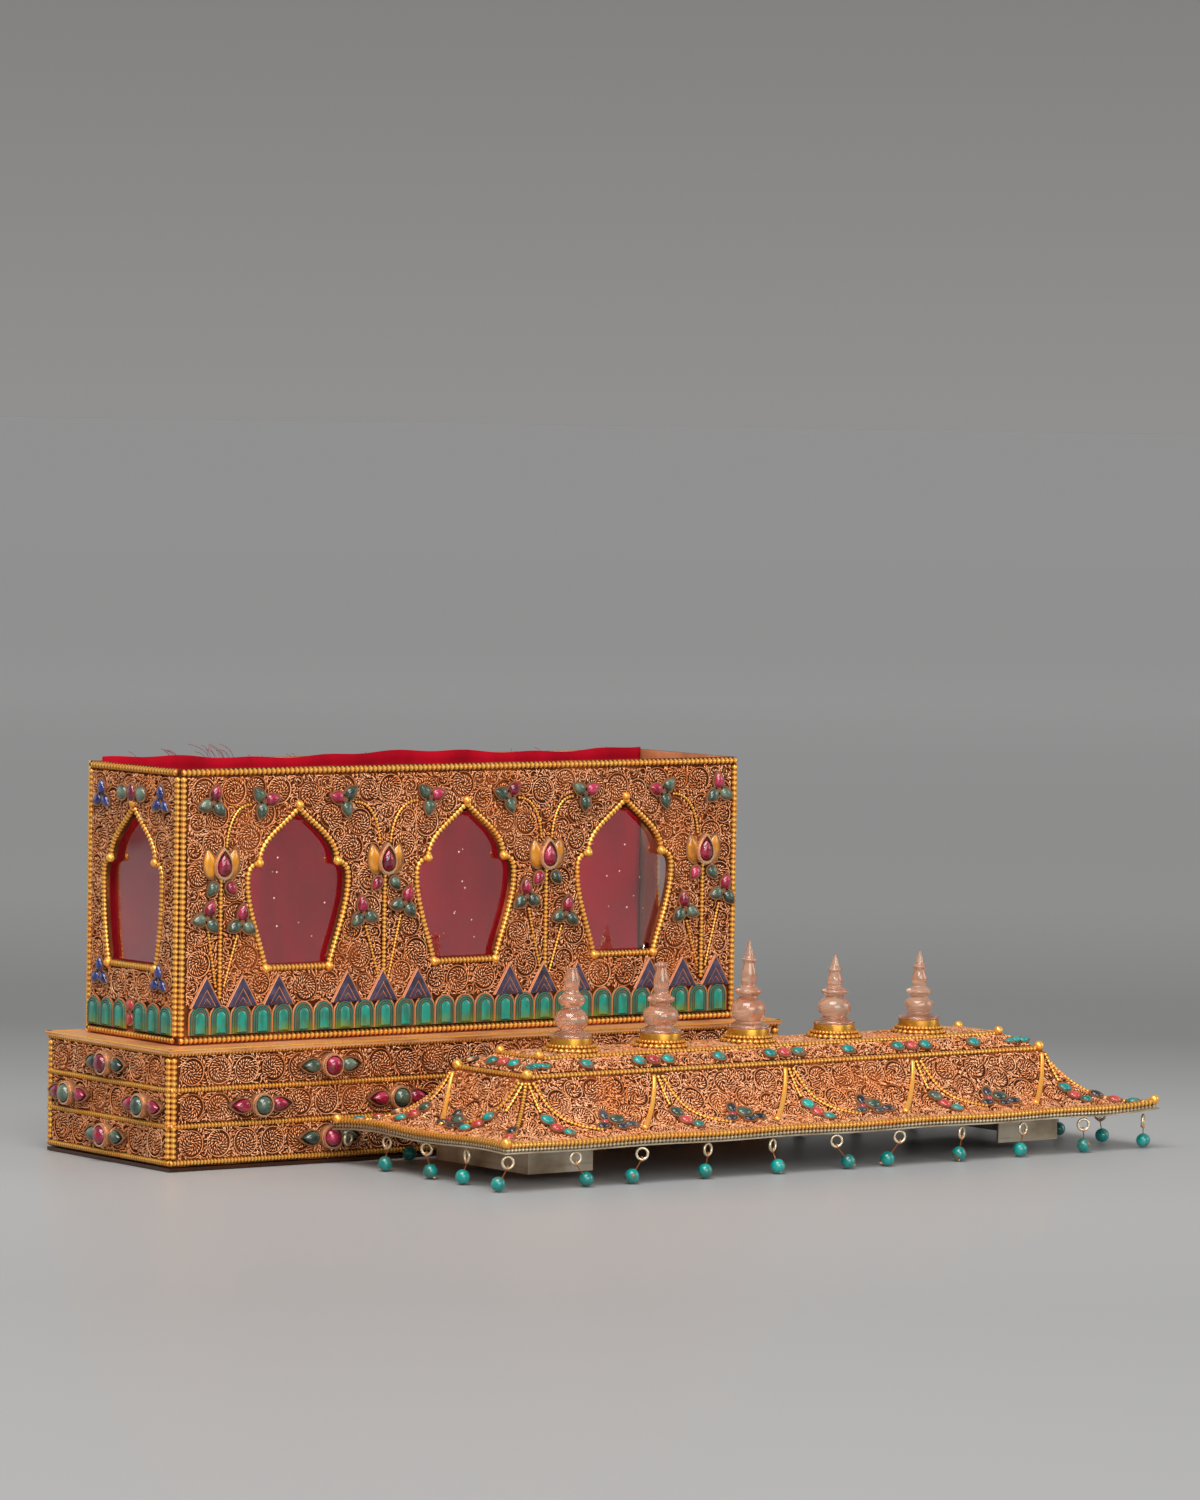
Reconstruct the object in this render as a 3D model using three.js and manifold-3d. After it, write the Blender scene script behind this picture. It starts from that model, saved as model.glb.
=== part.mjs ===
// Altar box of gilded copper filigree: a windowed box on a plinth, and its roof-shaped lid,
// which is lifted off and set down in front. Millimetres, +Z up, the front faces -Y.
// The origin is the middle of the plinth's underside.
import * as THREE from "three";
import { mergeVertices } from "three/addons/utils/BufferGeometryUtils.js";
import Module from "manifold-3d";

const wasm = await Module();
wasm.setup();

// Sheet, wire and clearance
const SHEET = 1.2; // thickness of the copper sheet
const WIRE = 2.6; // width of a border wire
const PROUD = 1.3; // how far a border wire stands out of its panel
const GAP = 0.3; // clearance between neighbouring pieces
const SUNK = 0.5; // how deep an ornament is let into its panel

// Plinth
const PLINTH_LENGTH = 258;
const PLINTH_DEPTH = 80.3;
const PLINTH_HEIGHT = 41;
const PLINTH_ROWS = 3; // filigree rows between the border wires
const PLINTH_GROUP_X = 64.5; // the two stone groups on the front lie this far off its middle
const LONG_SIDE_SPREAD = 28.2; // half width of a stone group on the front
const SHORT_SIDE_SPREAD = 23.7; // half width of a stone group on a short side

// Box
const BOX_LENGTH = 237;
const BOX_DEPTH = 60.7;
const BOX_HEIGHT = 93.5;
const BOX_Y = 2.8; // the box stands a little behind the plinth's middle

// Window, from the foot of its wall
const WINDOW_PITCH = 68.2;
const SILL = 24.8;
const SILL_HALF = 12.9;
const SHOULDER = 52.5;
const SHOULDER_HALF = 22;
const CUSP = 60.9;
const CUSP_HALF = 16;
const APEX = 79.7;
const CURVE_STEPS = 3;

// Ornament on the walls
const TILE_PITCH = 8.3;
const TILE_FOOT = 3.6;
const TILE_HEIGHT = 10;
const TILE_PROUD = 1.9;
const PEAK_WIDTH = 13.2; // blue triangles behind the tile row
const PEAK_HEIGHT = 10.8;
const PEAK_PITCH = 15;
const LOTUS_Z = 61.5;
const LOTUS_STONE = 5.2;

// Panes and velvet
const PANE = 1;
const PANE_MARGIN = 5; // how far a pane reaches past the window openings
const VELVET = 1.2;
const VELVET_RISE = 1; // the velvet stands this far above the wall

// Lid, in the frame of the lid
const LID_X = 77;
const LID_Y = -93;
const LID_TURN = THREE.MathUtils.degToRad(0.8);
const EAVE_LENGTH = 281;
const EAVE_DEPTH = 97;
const EAVE_UNDER = 12.6; // height of the soffit above the floor
const EAVE_EDGE = 3.4; // thickness of the eave with its wires
const CORNER_FLARE = 2; // how far the eave corners sweep out
const CORNER_REACH = 26; // length of eave that a corner bends
const CORNER_LIFT = { frontLeft: 0.2, frontRight: 1.6, backRight: 0.8, backLeft: -1 };
const ROOF_RUN = 27.5; // plan width of the concave slope
const RIDGE_Z = 35.4; // crest of the lower ridge wire
const TIER_RUN = { ends: 11.3, sides: 8.9 }; // plan widths of the tier between the ridge wires
const RIDGE_WIRE = 1.9;
const CROWN_Z = 40.6; // crest of the upper ridge wire
const CROWN_PLATE_Z = 39.4; // top plate inside the upper ridge wire
const SLOPE_POWER = 2.7;
const SLOPE_STEPS = [0.08, 0.2, 0.36, 0.56, 0.8];
const CORNER_STEPS = [0, 9, CORNER_REACH]; // distances from a corner where a roof ring has a point

// Tabs that drop inside the box
const TAB_LENGTH = 231.5;
const TAB_DEPTH = 53;
const TAB_RETURN = 27;
const TAB_SHEET = 1;
const TAB_FOOT = 2.6; // the tabs end this far above the floor

// Stupas and their collars
const STUPA_PITCH = 38.1;
const STUPA_SHIFT = -2.9; // the row of stupas stands a little left of the middle
const STUPA_SIDES = 9;
const COLLAR_RADIUS = 7.1;
const COLLAR_HEIGHT = 4;
const COLLAR_FLOOR = 1.4;
const FOOT_RADIUS = 6.4;

// Drops under the eaves
const DROP_BEAD = 2.5; // radius of a turquoise bead
const DROP_RING = 1.95; // radius of a ring, to the middle of its wire
const DROP_WIRE = 0.45;
const DROP_INSET = 2; // how far inside the eave edge the rings hang
const FLOOR_CLEARANCE = 0.1;
const FRONT_DROPS = 10; // intervals along a long eave
const SIDE_DROPS = 4; // intervals along a short eave
const LOST_BEAD = 25; // the far left corner drop has lost its wire and bead
const FRONT_LEANS = [-3.1, 4.6, -4.1, -1, 2.4, 5.2, -5.2, -1, -1.1, 0.4]; // sideways lean of the front beads

// Materials
function finish(color, roughness, metalness) {
  return new THREE.MeshStandardMaterial({ color, roughness, metalness });
}

const copperFiligree = finish(0xb5673a, 0.45, 0.8);
const tinnedSheet = finish(0x9a8f78, 0.5, 0.9);
const gilt = finish(0xc8941f, 0.35, 0.95);
const clearPane = finish(0xb9a6a4, 0.1, 0);
const crystal = finish(0xe3bfae, 0.08, 0);
const velvet = finish(0xa0101c, 0.95, 0);
const turquoise = finish(0x1f9c92, 0.3, 0);

// Joining and cutting closed meshes
function solid(geometry) {
  const bare = geometry.clone();
  bare.deleteAttribute("normal");
  bare.deleteAttribute("uv");
  const merged = mergeVertices(bare);
  const vertProperties = new Float32Array(merged.attributes.position.array);
  const triVerts = new Uint32Array(merged.index.array);
  return new wasm.Manifold(new wasm.Mesh({ numProp: 3, vertProperties, triVerts }));
}

function unite(geometries) {
  const joined = geometries.map(solid).reduce((whole, piece) => whole.add(piece));
  const mesh = joined.getMesh();
  const geometry = new THREE.BufferGeometry();
  geometry.setAttribute("position", new THREE.BufferAttribute(mesh.vertProperties, 3));
  geometry.setIndex(new THREE.BufferAttribute(mesh.triVerts, 1));
  geometry.computeVertexNormals();
  return geometry;
}

function piece(name, geometry, material) {
  const mesh = new THREE.Mesh(geometry, material);
  mesh.name = name;
  return mesh;
}

// A closed skin through rings of equal point counts, fanned shut at the first and last ring
function skin(rings) {
  const count = rings[0].length;
  const points = rings.flat();
  const middle = (ring) => ring.reduce((sum, p) => sum.add(p), new THREE.Vector3()).divideScalar(count);
  points.push(middle(rings[0]), middle(rings.at(-1)));
  const first = points.length - 2;
  const last = points.length - 1;
  const lastRing = (rings.length - 1) * count;
  const index = [];
  for (let k = 0; k < count; k++) {
    const next = (k + 1) % count;
    index.push(first, k, next, last, lastRing + next, lastRing + k);
    for (let r = 0; r < rings.length - 1; r++) {
      const upper = r * count;
      const lower = upper + count;
      index.push(upper + k, lower + k, lower + next, upper + k, lower + next, upper + next);
    }
  }
  const geometry = new THREE.BufferGeometry().setFromPoints(points);
  geometry.setIndex(index);
  geometry.computeVertexNormals();
  return geometry;
}

function rectangleRing(halfLength, halfDepth, z) {
  return [
    new THREE.Vector3(-halfLength, -halfDepth, z),
    new THREE.Vector3(halfLength, -halfDepth, z),
    new THREE.Vector3(halfLength, halfDepth, z),
    new THREE.Vector3(-halfLength, halfDepth, z),
  ];
}

// Flat ornament, drawn in the panel's own plane: x along the panel, y up, z outwards
function slab(outline, hole, from, to) {
  const shape = new THREE.Shape(outline);
  if (hole) shape.holes.push(new THREE.Path(hole));
  const geometry = new THREE.ExtrudeGeometry(shape, { depth: to - from, bevelEnabled: false });
  return geometry.translate(0, 0, from);
}

function rectangle(left, right, foot, head) {
  return [
    new THREE.Vector2(left, foot),
    new THREE.Vector2(right, foot),
    new THREE.Vector2(right, head),
    new THREE.Vector2(left, head),
  ];
}

function borderFrame(width, height) {
  const outer = rectangle(-width / 2, width / 2, 0, height);
  const inner = rectangle(-width / 2 + WIRE, width / 2 - WIRE, WIRE, height - WIRE);
  return slab(outer, inner, -SUNK, PROUD);
}

// The bulbous window outline, anticlockwise, moved outwards by an offset
function windowOutline(x, offset) {
  const side = new THREE.Path();
  side.moveTo(SILL_HALF, SILL);
  side.bezierCurveTo(SILL_HALF + 3.6, SILL + 9, SHOULDER_HALF + 0.5, SHOULDER - 9, SHOULDER_HALF, SHOULDER);
  side.bezierCurveTo(SHOULDER_HALF - 0.3, CUSP - 4, CUSP_HALF + 4.5, CUSP - 0.7, CUSP_HALF, CUSP);
  side.bezierCurveTo(CUSP_HALF + 0.2, CUSP + 8.6, CUSP_HALF - 9, APEX - 5.7, 0, APEX);
  const right = side.getPoints(CURVE_STEPS);
  const left = right.slice(0, -1).reverse().map((p) => new THREE.Vector2(-p.x, p.y));
  const outline = [...right, ...left];
  return outline.map((p, k) => {
    const before = outline.at(k - 1);
    const after = outline[(k + 1) % outline.length];
    const along = after.clone().sub(before).normalize();
    return new THREE.Vector2(x + p.x + along.y * offset, p.y - along.x * offset);
  });
}

function windowFrame(x) {
  return slab(windowOutline(x, WIRE / 2), windowOutline(x, -WIRE / 2), -SUNK, PROUD);
}

// A row of round-headed tiles, centred on x
function tileRow(count, x) {
  const outline = [];
  const half = TILE_PITCH / 2 - 0.4;
  const spring = TILE_FOOT + TILE_HEIGHT - half;
  for (let k = count - 1; k >= 0; k--) {
    const middle = x + (k - (count - 1) / 2) * TILE_PITCH;
    for (const angle of [0, 60, 120, 180].map(THREE.MathUtils.degToRad)) {
      outline.push(new THREE.Vector2(middle + half * Math.cos(angle), spring + half * Math.sin(angle)));
    }
  }
  const reach = (count * TILE_PITCH) / 2 - 0.4;
  outline.push(new THREE.Vector2(x - reach, TILE_FOOT), new THREE.Vector2(x + reach, TILE_FOOT));
  return slab(outline, null, -SUNK, TILE_PROUD);
}

function peak(x) {
  const foot = TILE_FOOT + TILE_HEIGHT - 2;
  const outline = [
    new THREE.Vector2(x - PEAK_WIDTH / 2, foot),
    new THREE.Vector2(x + PEAK_WIDTH / 2, foot),
    new THREE.Vector2(x, foot + PEAK_HEIGHT + 2),
  ];
  return slab(outline, null, -SUNK, PROUD);
}

// A domed stone in its setting
function stone(x, y, radius, height) {
  const dome = new THREE.CylinderGeometry(radius * 0.5, radius, height + SUNK, 6);
  dome.rotateX(Math.PI / 2);
  return dome.translate(x, y, (height - SUNK) / 2);
}

// Three stones round a point, the first straight above it, as one three-pointed boss
function trefoil(x, y) {
  const outline = [90, 150, 210, 270, 330, 390].map((degrees, k) => {
    const angle = THREE.MathUtils.degToRad(degrees);
    const reach = k % 2 ? 2.2 : 4.8;
    return new THREE.Vector2(x + reach * Math.cos(angle), y + reach * Math.sin(angle));
  });
  return slab(outline, null, -SUNK, 2.2);
}

// A large round stone between two pointed ones
function stoneTrio(x, y) {
  const wings = [[-10, 0], [-5, -2.8], [5, -2.8], [10, 0], [5, 2.8], [-5, 2.8]];
  const outline = wings.map(([dx, dy]) => new THREE.Vector2(x + dx, y + dy));
  return [stone(x, y, 4, 4.4), slab(outline, null, -SUNK, 3.2)];
}

function lotus(x) {
  const stem = slab(rectangle(x - 1.2, x + 1.2, TILE_FOOT + TILE_HEIGHT, LOTUS_Z), null, -SUNK, PROUD);
  const flower = stone(x, LOTUS_Z, LOTUS_STONE, 3);
  return [stem, flower, trefoil(x + 8, LOTUS_Z - 17), trefoil(x - 8, LOTUS_Z - 20)];
}

// Walls of the box
const wallBase = PLINTH_HEIGHT + GAP;
const longWall = BOX_LENGTH - 2 * PROUD;
const shortWall = BOX_DEPTH - 2 * (PROUD + SHEET + GAP);
const longWindows = [-WINDOW_PITCH, 0, WINDOW_PITCH];

function panel(width, windows, ornaments) {
  const plate = new THREE.Shape(rectangle(-width / 2, width / 2, 0, BOX_HEIGHT));
  windows.forEach((x) => plate.holes.push(new THREE.Path(windowOutline(x, -WIRE / 2))));
  const sheet = new THREE.ExtrudeGeometry(plate, { depth: SHEET, bevelEnabled: false });
  sheet.translate(0, 0, -SHEET);
  return unite([sheet, borderFrame(width, BOX_HEIGHT), ...windows.map(windowFrame), ...ornaments]);
}

function wall(name, geometry, turn, distance) {
  const mesh = piece(name, geometry.rotateX(Math.PI / 2), copperFiligree);
  mesh.rotation.z = turn;
  mesh.position.set(distance * Math.sin(turn), BOX_Y - distance * Math.cos(turn), wallBase);
  return mesh;
}

const lotusPlaces = [-1.5, -0.5, 0.5, 1.5].map((k) => k * WINDOW_PITCH);
const peakMiddles = [-1.35, -0.5, 0.5, 1.37].map((k) => k * WINDOW_PITCH);
const peaks = peakMiddles.flatMap((x) => [peak(x - PEAK_PITCH), peak(x), peak(x + PEAK_PITCH)]);
const trefoilPlaces = [-1.55, -1.24, -0.76, -0.24, 0.24, 0.73, 1.23, 1.6];
const topTrefoils = trefoilPlaces.map((k) => trefoil(k * WINDOW_PITCH, 82));
const frontOrnaments = [tileRow(27, 0), ...peaks, ...lotusPlaces.flatMap(lotus), ...topTrefoils];
const shortOrnaments = [
  tileRow(3, -15), tileRow(3, 15), stone(0, 6.5, 2.6, 2.4), stone(0, 11.5, 2.6, 2.4), stone(0, 84, 3.2, 2.6),
  ...[-19, 19].flatMap((x) => [trefoil(x, 82), trefoil(x, 21)]),
];

const walls = new THREE.Group();
const longDistance = BOX_DEPTH / 2 - PROUD;
const shortDistance = BOX_LENGTH / 2 - PROUD;
walls.add(
  wall("wall_front", panel(longWall, longWindows, frontOrnaments), 0, longDistance),
  wall("wall_back", panel(longWall, longWindows, []), Math.PI, longDistance),
  wall("wall_left", panel(shortWall, [0], shortOrnaments), -Math.PI / 2, shortDistance),
  wall("wall_right", panel(shortWall, [0], shortOrnaments), Math.PI / 2, shortDistance),
);

// Panes behind the windows, and the velvet in front of the back pane
function pane(name, width, turn, distance) {
  const foot = wallBase + SILL - PANE_MARGIN;
  const height = APEX - SILL + PANE_MARGIN;
  const mesh = piece(name, new THREE.BoxGeometry(width, PANE, height), clearPane);
  const middle = distance - SHEET - GAP - PANE / 2;
  mesh.rotation.z = turn;
  mesh.position.set(middle * Math.sin(turn), BOX_Y - middle * Math.cos(turn), foot + height / 2);
  return mesh;
}

const shortPane = 2 * (SHOULDER_HALF + PANE_MARGIN / 2);
const longPane = 2 * (WINDOW_PITCH + SHOULDER_HALF + PANE_MARGIN);
const velvetY = BOX_Y + longDistance - SHEET - 2 * GAP - PANE - VELVET / 2;
const velvetHeight = BOX_HEIGHT + VELVET_RISE;
const velvetLength = BOX_LENGTH - 2 * (PROUD + SHEET + GAP + PANE + GAP);
const lining = piece("velvet_lining", new THREE.BoxGeometry(velvetLength, VELVET, velvetHeight), velvet);
lining.position.set(0, velvetY, wallBase + velvetHeight / 2);
walls.add(
  pane("pane_front", longPane, 0, longDistance),
  pane("pane_back", longPane, Math.PI, longDistance),
  pane("pane_left", shortPane, -Math.PI / 2, shortDistance),
  pane("pane_right", shortPane, Math.PI / 2, shortDistance),
  lining,
);

// Plinth
function plinthShell() {
  const foot = SHEET + GAP;
  const halfLength = PLINTH_LENGTH / 2 - PROUD;
  const halfDepth = PLINTH_DEPTH / 2 - PROUD;
  const ring = (out, z) => rectangleRing(halfLength + out, halfDepth + out, z);
  const rowPitch = (PLINTH_HEIGHT - foot - WIRE) / PLINTH_ROWS;
  const rings = [];
  for (let row = PLINTH_ROWS; row >= 0; row--) {
    const under = foot + row * rowPitch;
    if (row < PLINTH_ROWS) rings.push(ring(0, under + WIRE));
    rings.push(ring(PROUD, under + WIRE), ring(PROUD, under));
    if (row > 0) rings.push(ring(0, under));
  }
  rings.push(ring(-SHEET, foot), ring(-SHEET, PLINTH_HEIGHT - SHEET));

  const rowMiddle = (row) => foot + WIRE / 2 + (row + 0.5) * rowPitch;
  const group = (x, spread) => [
    ...stoneTrio(x, rowMiddle(0)),
    ...stoneTrio(x - spread, rowMiddle(1)),
    ...stoneTrio(x + spread, rowMiddle(1)),
    ...stoneTrio(x, rowMiddle(2)),
  ];
  const place = (stones, turn, distance) => stones.map((geometry) => geometry
    .rotateX(Math.PI / 2).translate(0, -distance, 0).rotateZ(turn));
  const frontGroups = [-PLINTH_GROUP_X, PLINTH_GROUP_X].flatMap((x) => group(x, LONG_SIDE_SPREAD));
  return unite([
    skin(rings),
    ...place(frontGroups, 0, halfDepth),
    ...place(group(0, SHORT_SIDE_SPREAD), -Math.PI / 2, halfLength),
    ...place(group(0, SHORT_SIDE_SPREAD), Math.PI / 2, halfLength),
  ]);
}

const bottomSheet = new THREE.BoxGeometry(PLINTH_LENGTH - PROUD, PLINTH_DEPTH - PROUD, SHEET);
const plinth = new THREE.Group();
plinth.add(
  piece("plinth_shell", plinthShell(), copperFiligree),
  piece("plinth_bottom", bottomSheet.translate(0, 0, SHEET / 2), copperFiligree),
);

// Lid roof: rings run anticlockwise from the front left corner
function cornerWeight(distance) {
  return Math.max(0, 1 - distance / CORNER_REACH) ** 2;
}

// How far the eave's corners are bent up or down at a place on it
function eaveLift(halfLength, halfDepth, x, y) {
  const dx = halfLength - Math.abs(x);
  const dy = halfDepth - Math.abs(y);
  const corner = `${y < 0 ? "front" : "back"}${x < 0 ? "Left" : "Right"}`;
  return CORNER_LIFT[corner] * cornerWeight(dx + dy);
}

function roofRing(halfLength, halfDepth, z, bend) {
  const corners = rectangleRing(halfLength, halfDepth, z);
  const points = [];
  corners.forEach((corner, side) => {
    const next = corners[(side + 1) % 4];
    const length = corner.distanceTo(next);
    const reach = Math.min(1, length / (3 * CORNER_REACH));
    const steps = CORNER_STEPS.map((step) => step * reach);
    const ends = steps.slice(1).reverse().map((step) => length - step);
    for (const along of [...steps, ...ends]) {
      const p = corner.clone().lerp(next, along / length);
      const flare = CORNER_FLARE * bend * cornerWeight(Math.min(along, length - along));
      p.z += bend * eaveLift(halfLength, halfDepth, p.x, p.y);
      p.x += Math.sign(p.x) * flare;
      p.y += Math.sign(p.y) * flare;
      points.push(p);
    }
  });
  return points;
}

function roofShell() {
  const half = { length: EAVE_LENGTH / 2, depth: EAVE_DEPTH / 2 };
  const ringIn = (inset, z, bend = 0) => roofRing(half.length - inset, half.depth - inset, z, bend);
  const crownRing = (inset, z) => roofRing(
    half.length - ROOF_RUN - TIER_RUN.ends - inset, half.depth - ROOF_RUN - TIER_RUN.sides - inset, z, 0);
  const slopeFoot = EAVE_UNDER + EAVE_EDGE - 1.4;
  const slopeHead = RIDGE_Z - 1.8;
  const slope = SLOPE_STEPS.map((t) => {
    const z = slopeFoot + (slopeHead - slopeFoot) * (1 - t) ** SLOPE_POWER;
    return ringIn(ROOF_RUN * (1 - t), z, t ** 2);
  });
  const soffitInset = half.length - TAB_LENGTH / 2 + 2.5;
  return skin([
    crownRing(RIDGE_WIRE, CROWN_PLATE_Z),
    crownRing(RIDGE_WIRE, CROWN_Z),
    crownRing(0, CROWN_Z),
    crownRing(0, CROWN_Z - 1.8),
    ringIn(ROOF_RUN + RIDGE_WIRE, RIDGE_Z - 1),
    ringIn(ROOF_RUN + RIDGE_WIRE, RIDGE_Z),
    ringIn(ROOF_RUN, RIDGE_Z),
    ...slope,
    ringIn(WIRE, slopeFoot, 1),
    ringIn(WIRE, EAVE_UNDER + EAVE_EDGE, 1),
    ringIn(0, EAVE_UNDER + EAVE_EDGE, 1),
    ringIn(0, EAVE_UNDER, 1),
    ringIn(soffitInset, EAVE_UNDER),
    ringIn(soffitInset, EAVE_UNDER + SHEET),
    ringIn(ROOF_RUN * 0.6, EAVE_UNDER + SHEET),
    ringIn(ROOF_RUN * 0.86, EAVE_UNDER + 8),
    ringIn(ROOF_RUN + 2, RIDGE_Z - 4),
    crownRing(2, CROWN_PLATE_Z - SHEET),
  ]);
}

// A tab is a strip bent to a U, open towards the middle of the lid
function tab(name, side) {
  const end = side * TAB_LENGTH / 2;
  const inside = end - side * TAB_SHEET;
  const mouth = end - side * TAB_RETURN;
  const half = TAB_DEPTH / 2;
  const outline = [
    [end, -half], [end, half], [mouth, half], [mouth, half - TAB_SHEET],
    [inside, half - TAB_SHEET], [inside, -half + TAB_SHEET], [mouth, -half + TAB_SHEET], [mouth, -half],
  ].map(([x, y]) => new THREE.Vector2(x, y));
  return piece(name, slab(outline, null, TAB_FOOT, EAVE_UNDER - GAP), tinnedSheet);
}

// Collars are turned cups, ringed by two beaded wires
function turned(profile) {
  const points = profile.map(([radius, z]) => new THREE.Vector2(radius, z));
  return new THREE.LatheGeometry(points, STUPA_SIDES).rotateX(Math.PI / 2);
}

const collarProfile = [
  [0, 0], [9.6, 0], [9.2, 1.7], [COLLAR_RADIUS, 2.6], [COLLAR_RADIUS, COLLAR_HEIGHT],
  [FOOT_RADIUS + GAP, COLLAR_HEIGHT], [FOOT_RADIUS + GAP, COLLAR_FLOOR], [0, COLLAR_FLOOR],
];

// Stupas: foot, bell, disc and spire; heights are those of the bell, the disc and the spire,
// and the spire of the first two has lost its tip
const STUPAS = [
  { bell: 7.4, bellRadius: 5.5, disc: 6, spire: 7.6, tip: 0 },
  { bell: 7, bellRadius: 5.9, disc: 4.2, spire: 8.8, tip: 0.6 },
  { bell: 8.2, bellRadius: 5.9, disc: 4.2, spire: 8, tip: 6.8 },
  { bell: 7, bellRadius: 5.6, disc: 3.6, spire: 5, tip: 5.2 },
  { bell: 5.6, bellRadius: 4.9, disc: 3.6, spire: 6, tip: 5.4 },
];

function stupaProfile({ bell, bellRadius, disc, spire, tip }) {
  const foot = 6;
  const neck = foot + bell;
  const waist = neck + disc;
  const head = waist + spire;
  const profile = [
    [0, 0], [FOOT_RADIUS, 0], [FOOT_RADIUS, foot - 1.8], [bellRadius * 0.85, foot],
    [bellRadius, foot + bell * 0.45], [bellRadius * 0.62, neck], [4.5, neck + disc * 0.5], [2.9, waist],
    [2.2, head],
  ];
  const broken = [[0, head + 0.3]];
  const ring = [[2.4, head + 1], [1.6, head + 1.6], [0, head + 1.6 + Math.max(tip, 0.3)]];
  return [...profile, ...(tip > 0 ? ring : broken)];
}

// A drop: a ring under the eave, a wire, and a bead that leans along the eave
function drop(name, x, y, turn, lift, lean, beadLost) {
  const ringTop = EAVE_UNDER + Math.min(lift, 0) - GAP;
  const ringMiddle = ringTop - DROP_RING - DROP_WIRE;
  const ring = new THREE.TorusGeometry(DROP_RING, DROP_WIRE, 3, 6).rotateX(Math.PI / 2);
  ring.translate(0, 0, ringMiddle);
  const parts = [ring];
  if (!beadLost) {
    const head = new THREE.Vector3(0, 0, ringMiddle - DROP_RING);
    const bead = new THREE.Vector3(lean, 0, DROP_BEAD + FLOOR_CLEARANCE);
    const along = bead.clone().sub(head);
    const wire = new THREE.CylinderGeometry(DROP_WIRE, DROP_WIRE, along.length(), 3);
    const upright = new THREE.Vector3(0, 1, 0);
    wire.applyQuaternion(new THREE.Quaternion().setFromUnitVectors(upright, along.clone().normalize()));
    wire.translate(...head.clone().add(bead).multiplyScalar(0.5).toArray());
    const ball = new THREE.IcosahedronGeometry(DROP_BEAD);
    parts.push(wire, ball.translate(...bead.toArray()));
  }
  const mesh = piece(name, unite(parts), turquoise);
  mesh.position.set(x, y, 0);
  mesh.rotation.z = turn;
  return mesh;
}

// Drops run anticlockwise from the front left corner, evenly spaced on each side
function drops() {
  const halfLength = EAVE_LENGTH / 2 - DROP_INSET;
  const halfDepth = EAVE_DEPTH / 2 - DROP_INSET;
  const corners = rectangleRing(halfLength, halfDepth, 0);
  const list = [];
  corners.forEach((corner, side) => {
    const next = corners[(side + 1) % 4];
    const intervals = side % 2 ? SIDE_DROPS : FRONT_DROPS;
    for (let k = 0; k < intervals; k++) {
      const p = corner.clone().lerp(next, k / intervals);
      const number = list.length + 1;
      const lean = side === 0 ? FRONT_LEANS[k] : 2.5 * Math.sin(2.4 * number);
      const lift = eaveLift(halfLength, halfDepth, p.x, p.y);
      const turn = (side * Math.PI) / 2 - (k === 0 ? Math.PI / 4 : 0);
      const name = `bead_drop_${String(number).padStart(2, "0")}`;
      list.push(drop(name, p.x, p.y, turn, lift, lean, number === LOST_BEAD));
    }
  });
  return list;
}

const lid = new THREE.Group();
lid.position.set(LID_X, LID_Y, 0);
lid.rotation.z = LID_TURN;
lid.add(piece("lid_roof", roofShell(), copperFiligree), tab("lid_tab_left", -1), tab("lid_tab_right", 1));
STUPAS.forEach((sizes, k) => {
  const collar = piece(`stupa_collar_${k + 1}`, turned(collarProfile), gilt);
  const stupa = piece(`crystal_stupa_${k + 1}`, turned(stupaProfile(sizes)), crystal);
  collar.position.set((k - 2) * STUPA_PITCH + STUPA_SHIFT, 0, CROWN_PLATE_Z + GAP);
  stupa.position.set(collar.position.x, 0, collar.position.z + COLLAR_FLOOR + GAP);
  lid.add(collar, stupa);
});
lid.add(...drops());

const altarBox = new THREE.Group();
altarBox.add(plinth, walls, lid);

export default altarBox;
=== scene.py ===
import math

import bpy
import numpy as np
from mathutils import Matrix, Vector
from mathutils.geometry import tessellate_polygon

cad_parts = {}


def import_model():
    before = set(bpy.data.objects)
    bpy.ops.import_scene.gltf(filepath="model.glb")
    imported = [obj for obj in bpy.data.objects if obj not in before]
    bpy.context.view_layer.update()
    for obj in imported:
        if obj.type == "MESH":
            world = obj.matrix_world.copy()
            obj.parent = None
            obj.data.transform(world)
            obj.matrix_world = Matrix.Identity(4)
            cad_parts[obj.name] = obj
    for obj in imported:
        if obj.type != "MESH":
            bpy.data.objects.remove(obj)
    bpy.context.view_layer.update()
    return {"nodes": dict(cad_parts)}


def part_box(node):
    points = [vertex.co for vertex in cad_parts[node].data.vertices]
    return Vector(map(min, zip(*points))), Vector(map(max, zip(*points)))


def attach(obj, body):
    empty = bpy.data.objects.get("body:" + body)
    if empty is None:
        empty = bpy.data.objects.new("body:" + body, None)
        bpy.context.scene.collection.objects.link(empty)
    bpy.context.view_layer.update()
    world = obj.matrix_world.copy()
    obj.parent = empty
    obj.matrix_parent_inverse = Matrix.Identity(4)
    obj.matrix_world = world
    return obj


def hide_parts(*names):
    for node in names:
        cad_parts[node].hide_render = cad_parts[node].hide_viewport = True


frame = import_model()

MM = 0.001
PI = math.pi
UP = np.array([0.0, 0.0, 1.0])
CRISP = math.radians(42)  # sharper edges are not smoothed
CORNERS = np.array([(-1, -1), (1, -1), (1, 1), (-1, 1)])  # anticlockwise from the front left
SIDES = ("front", "right", "back", "left")  # quarters 0 to 3
SHOWN = (0, 3)  # the quarters that the photograph shows
random = np.random.default_rng(7)

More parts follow.
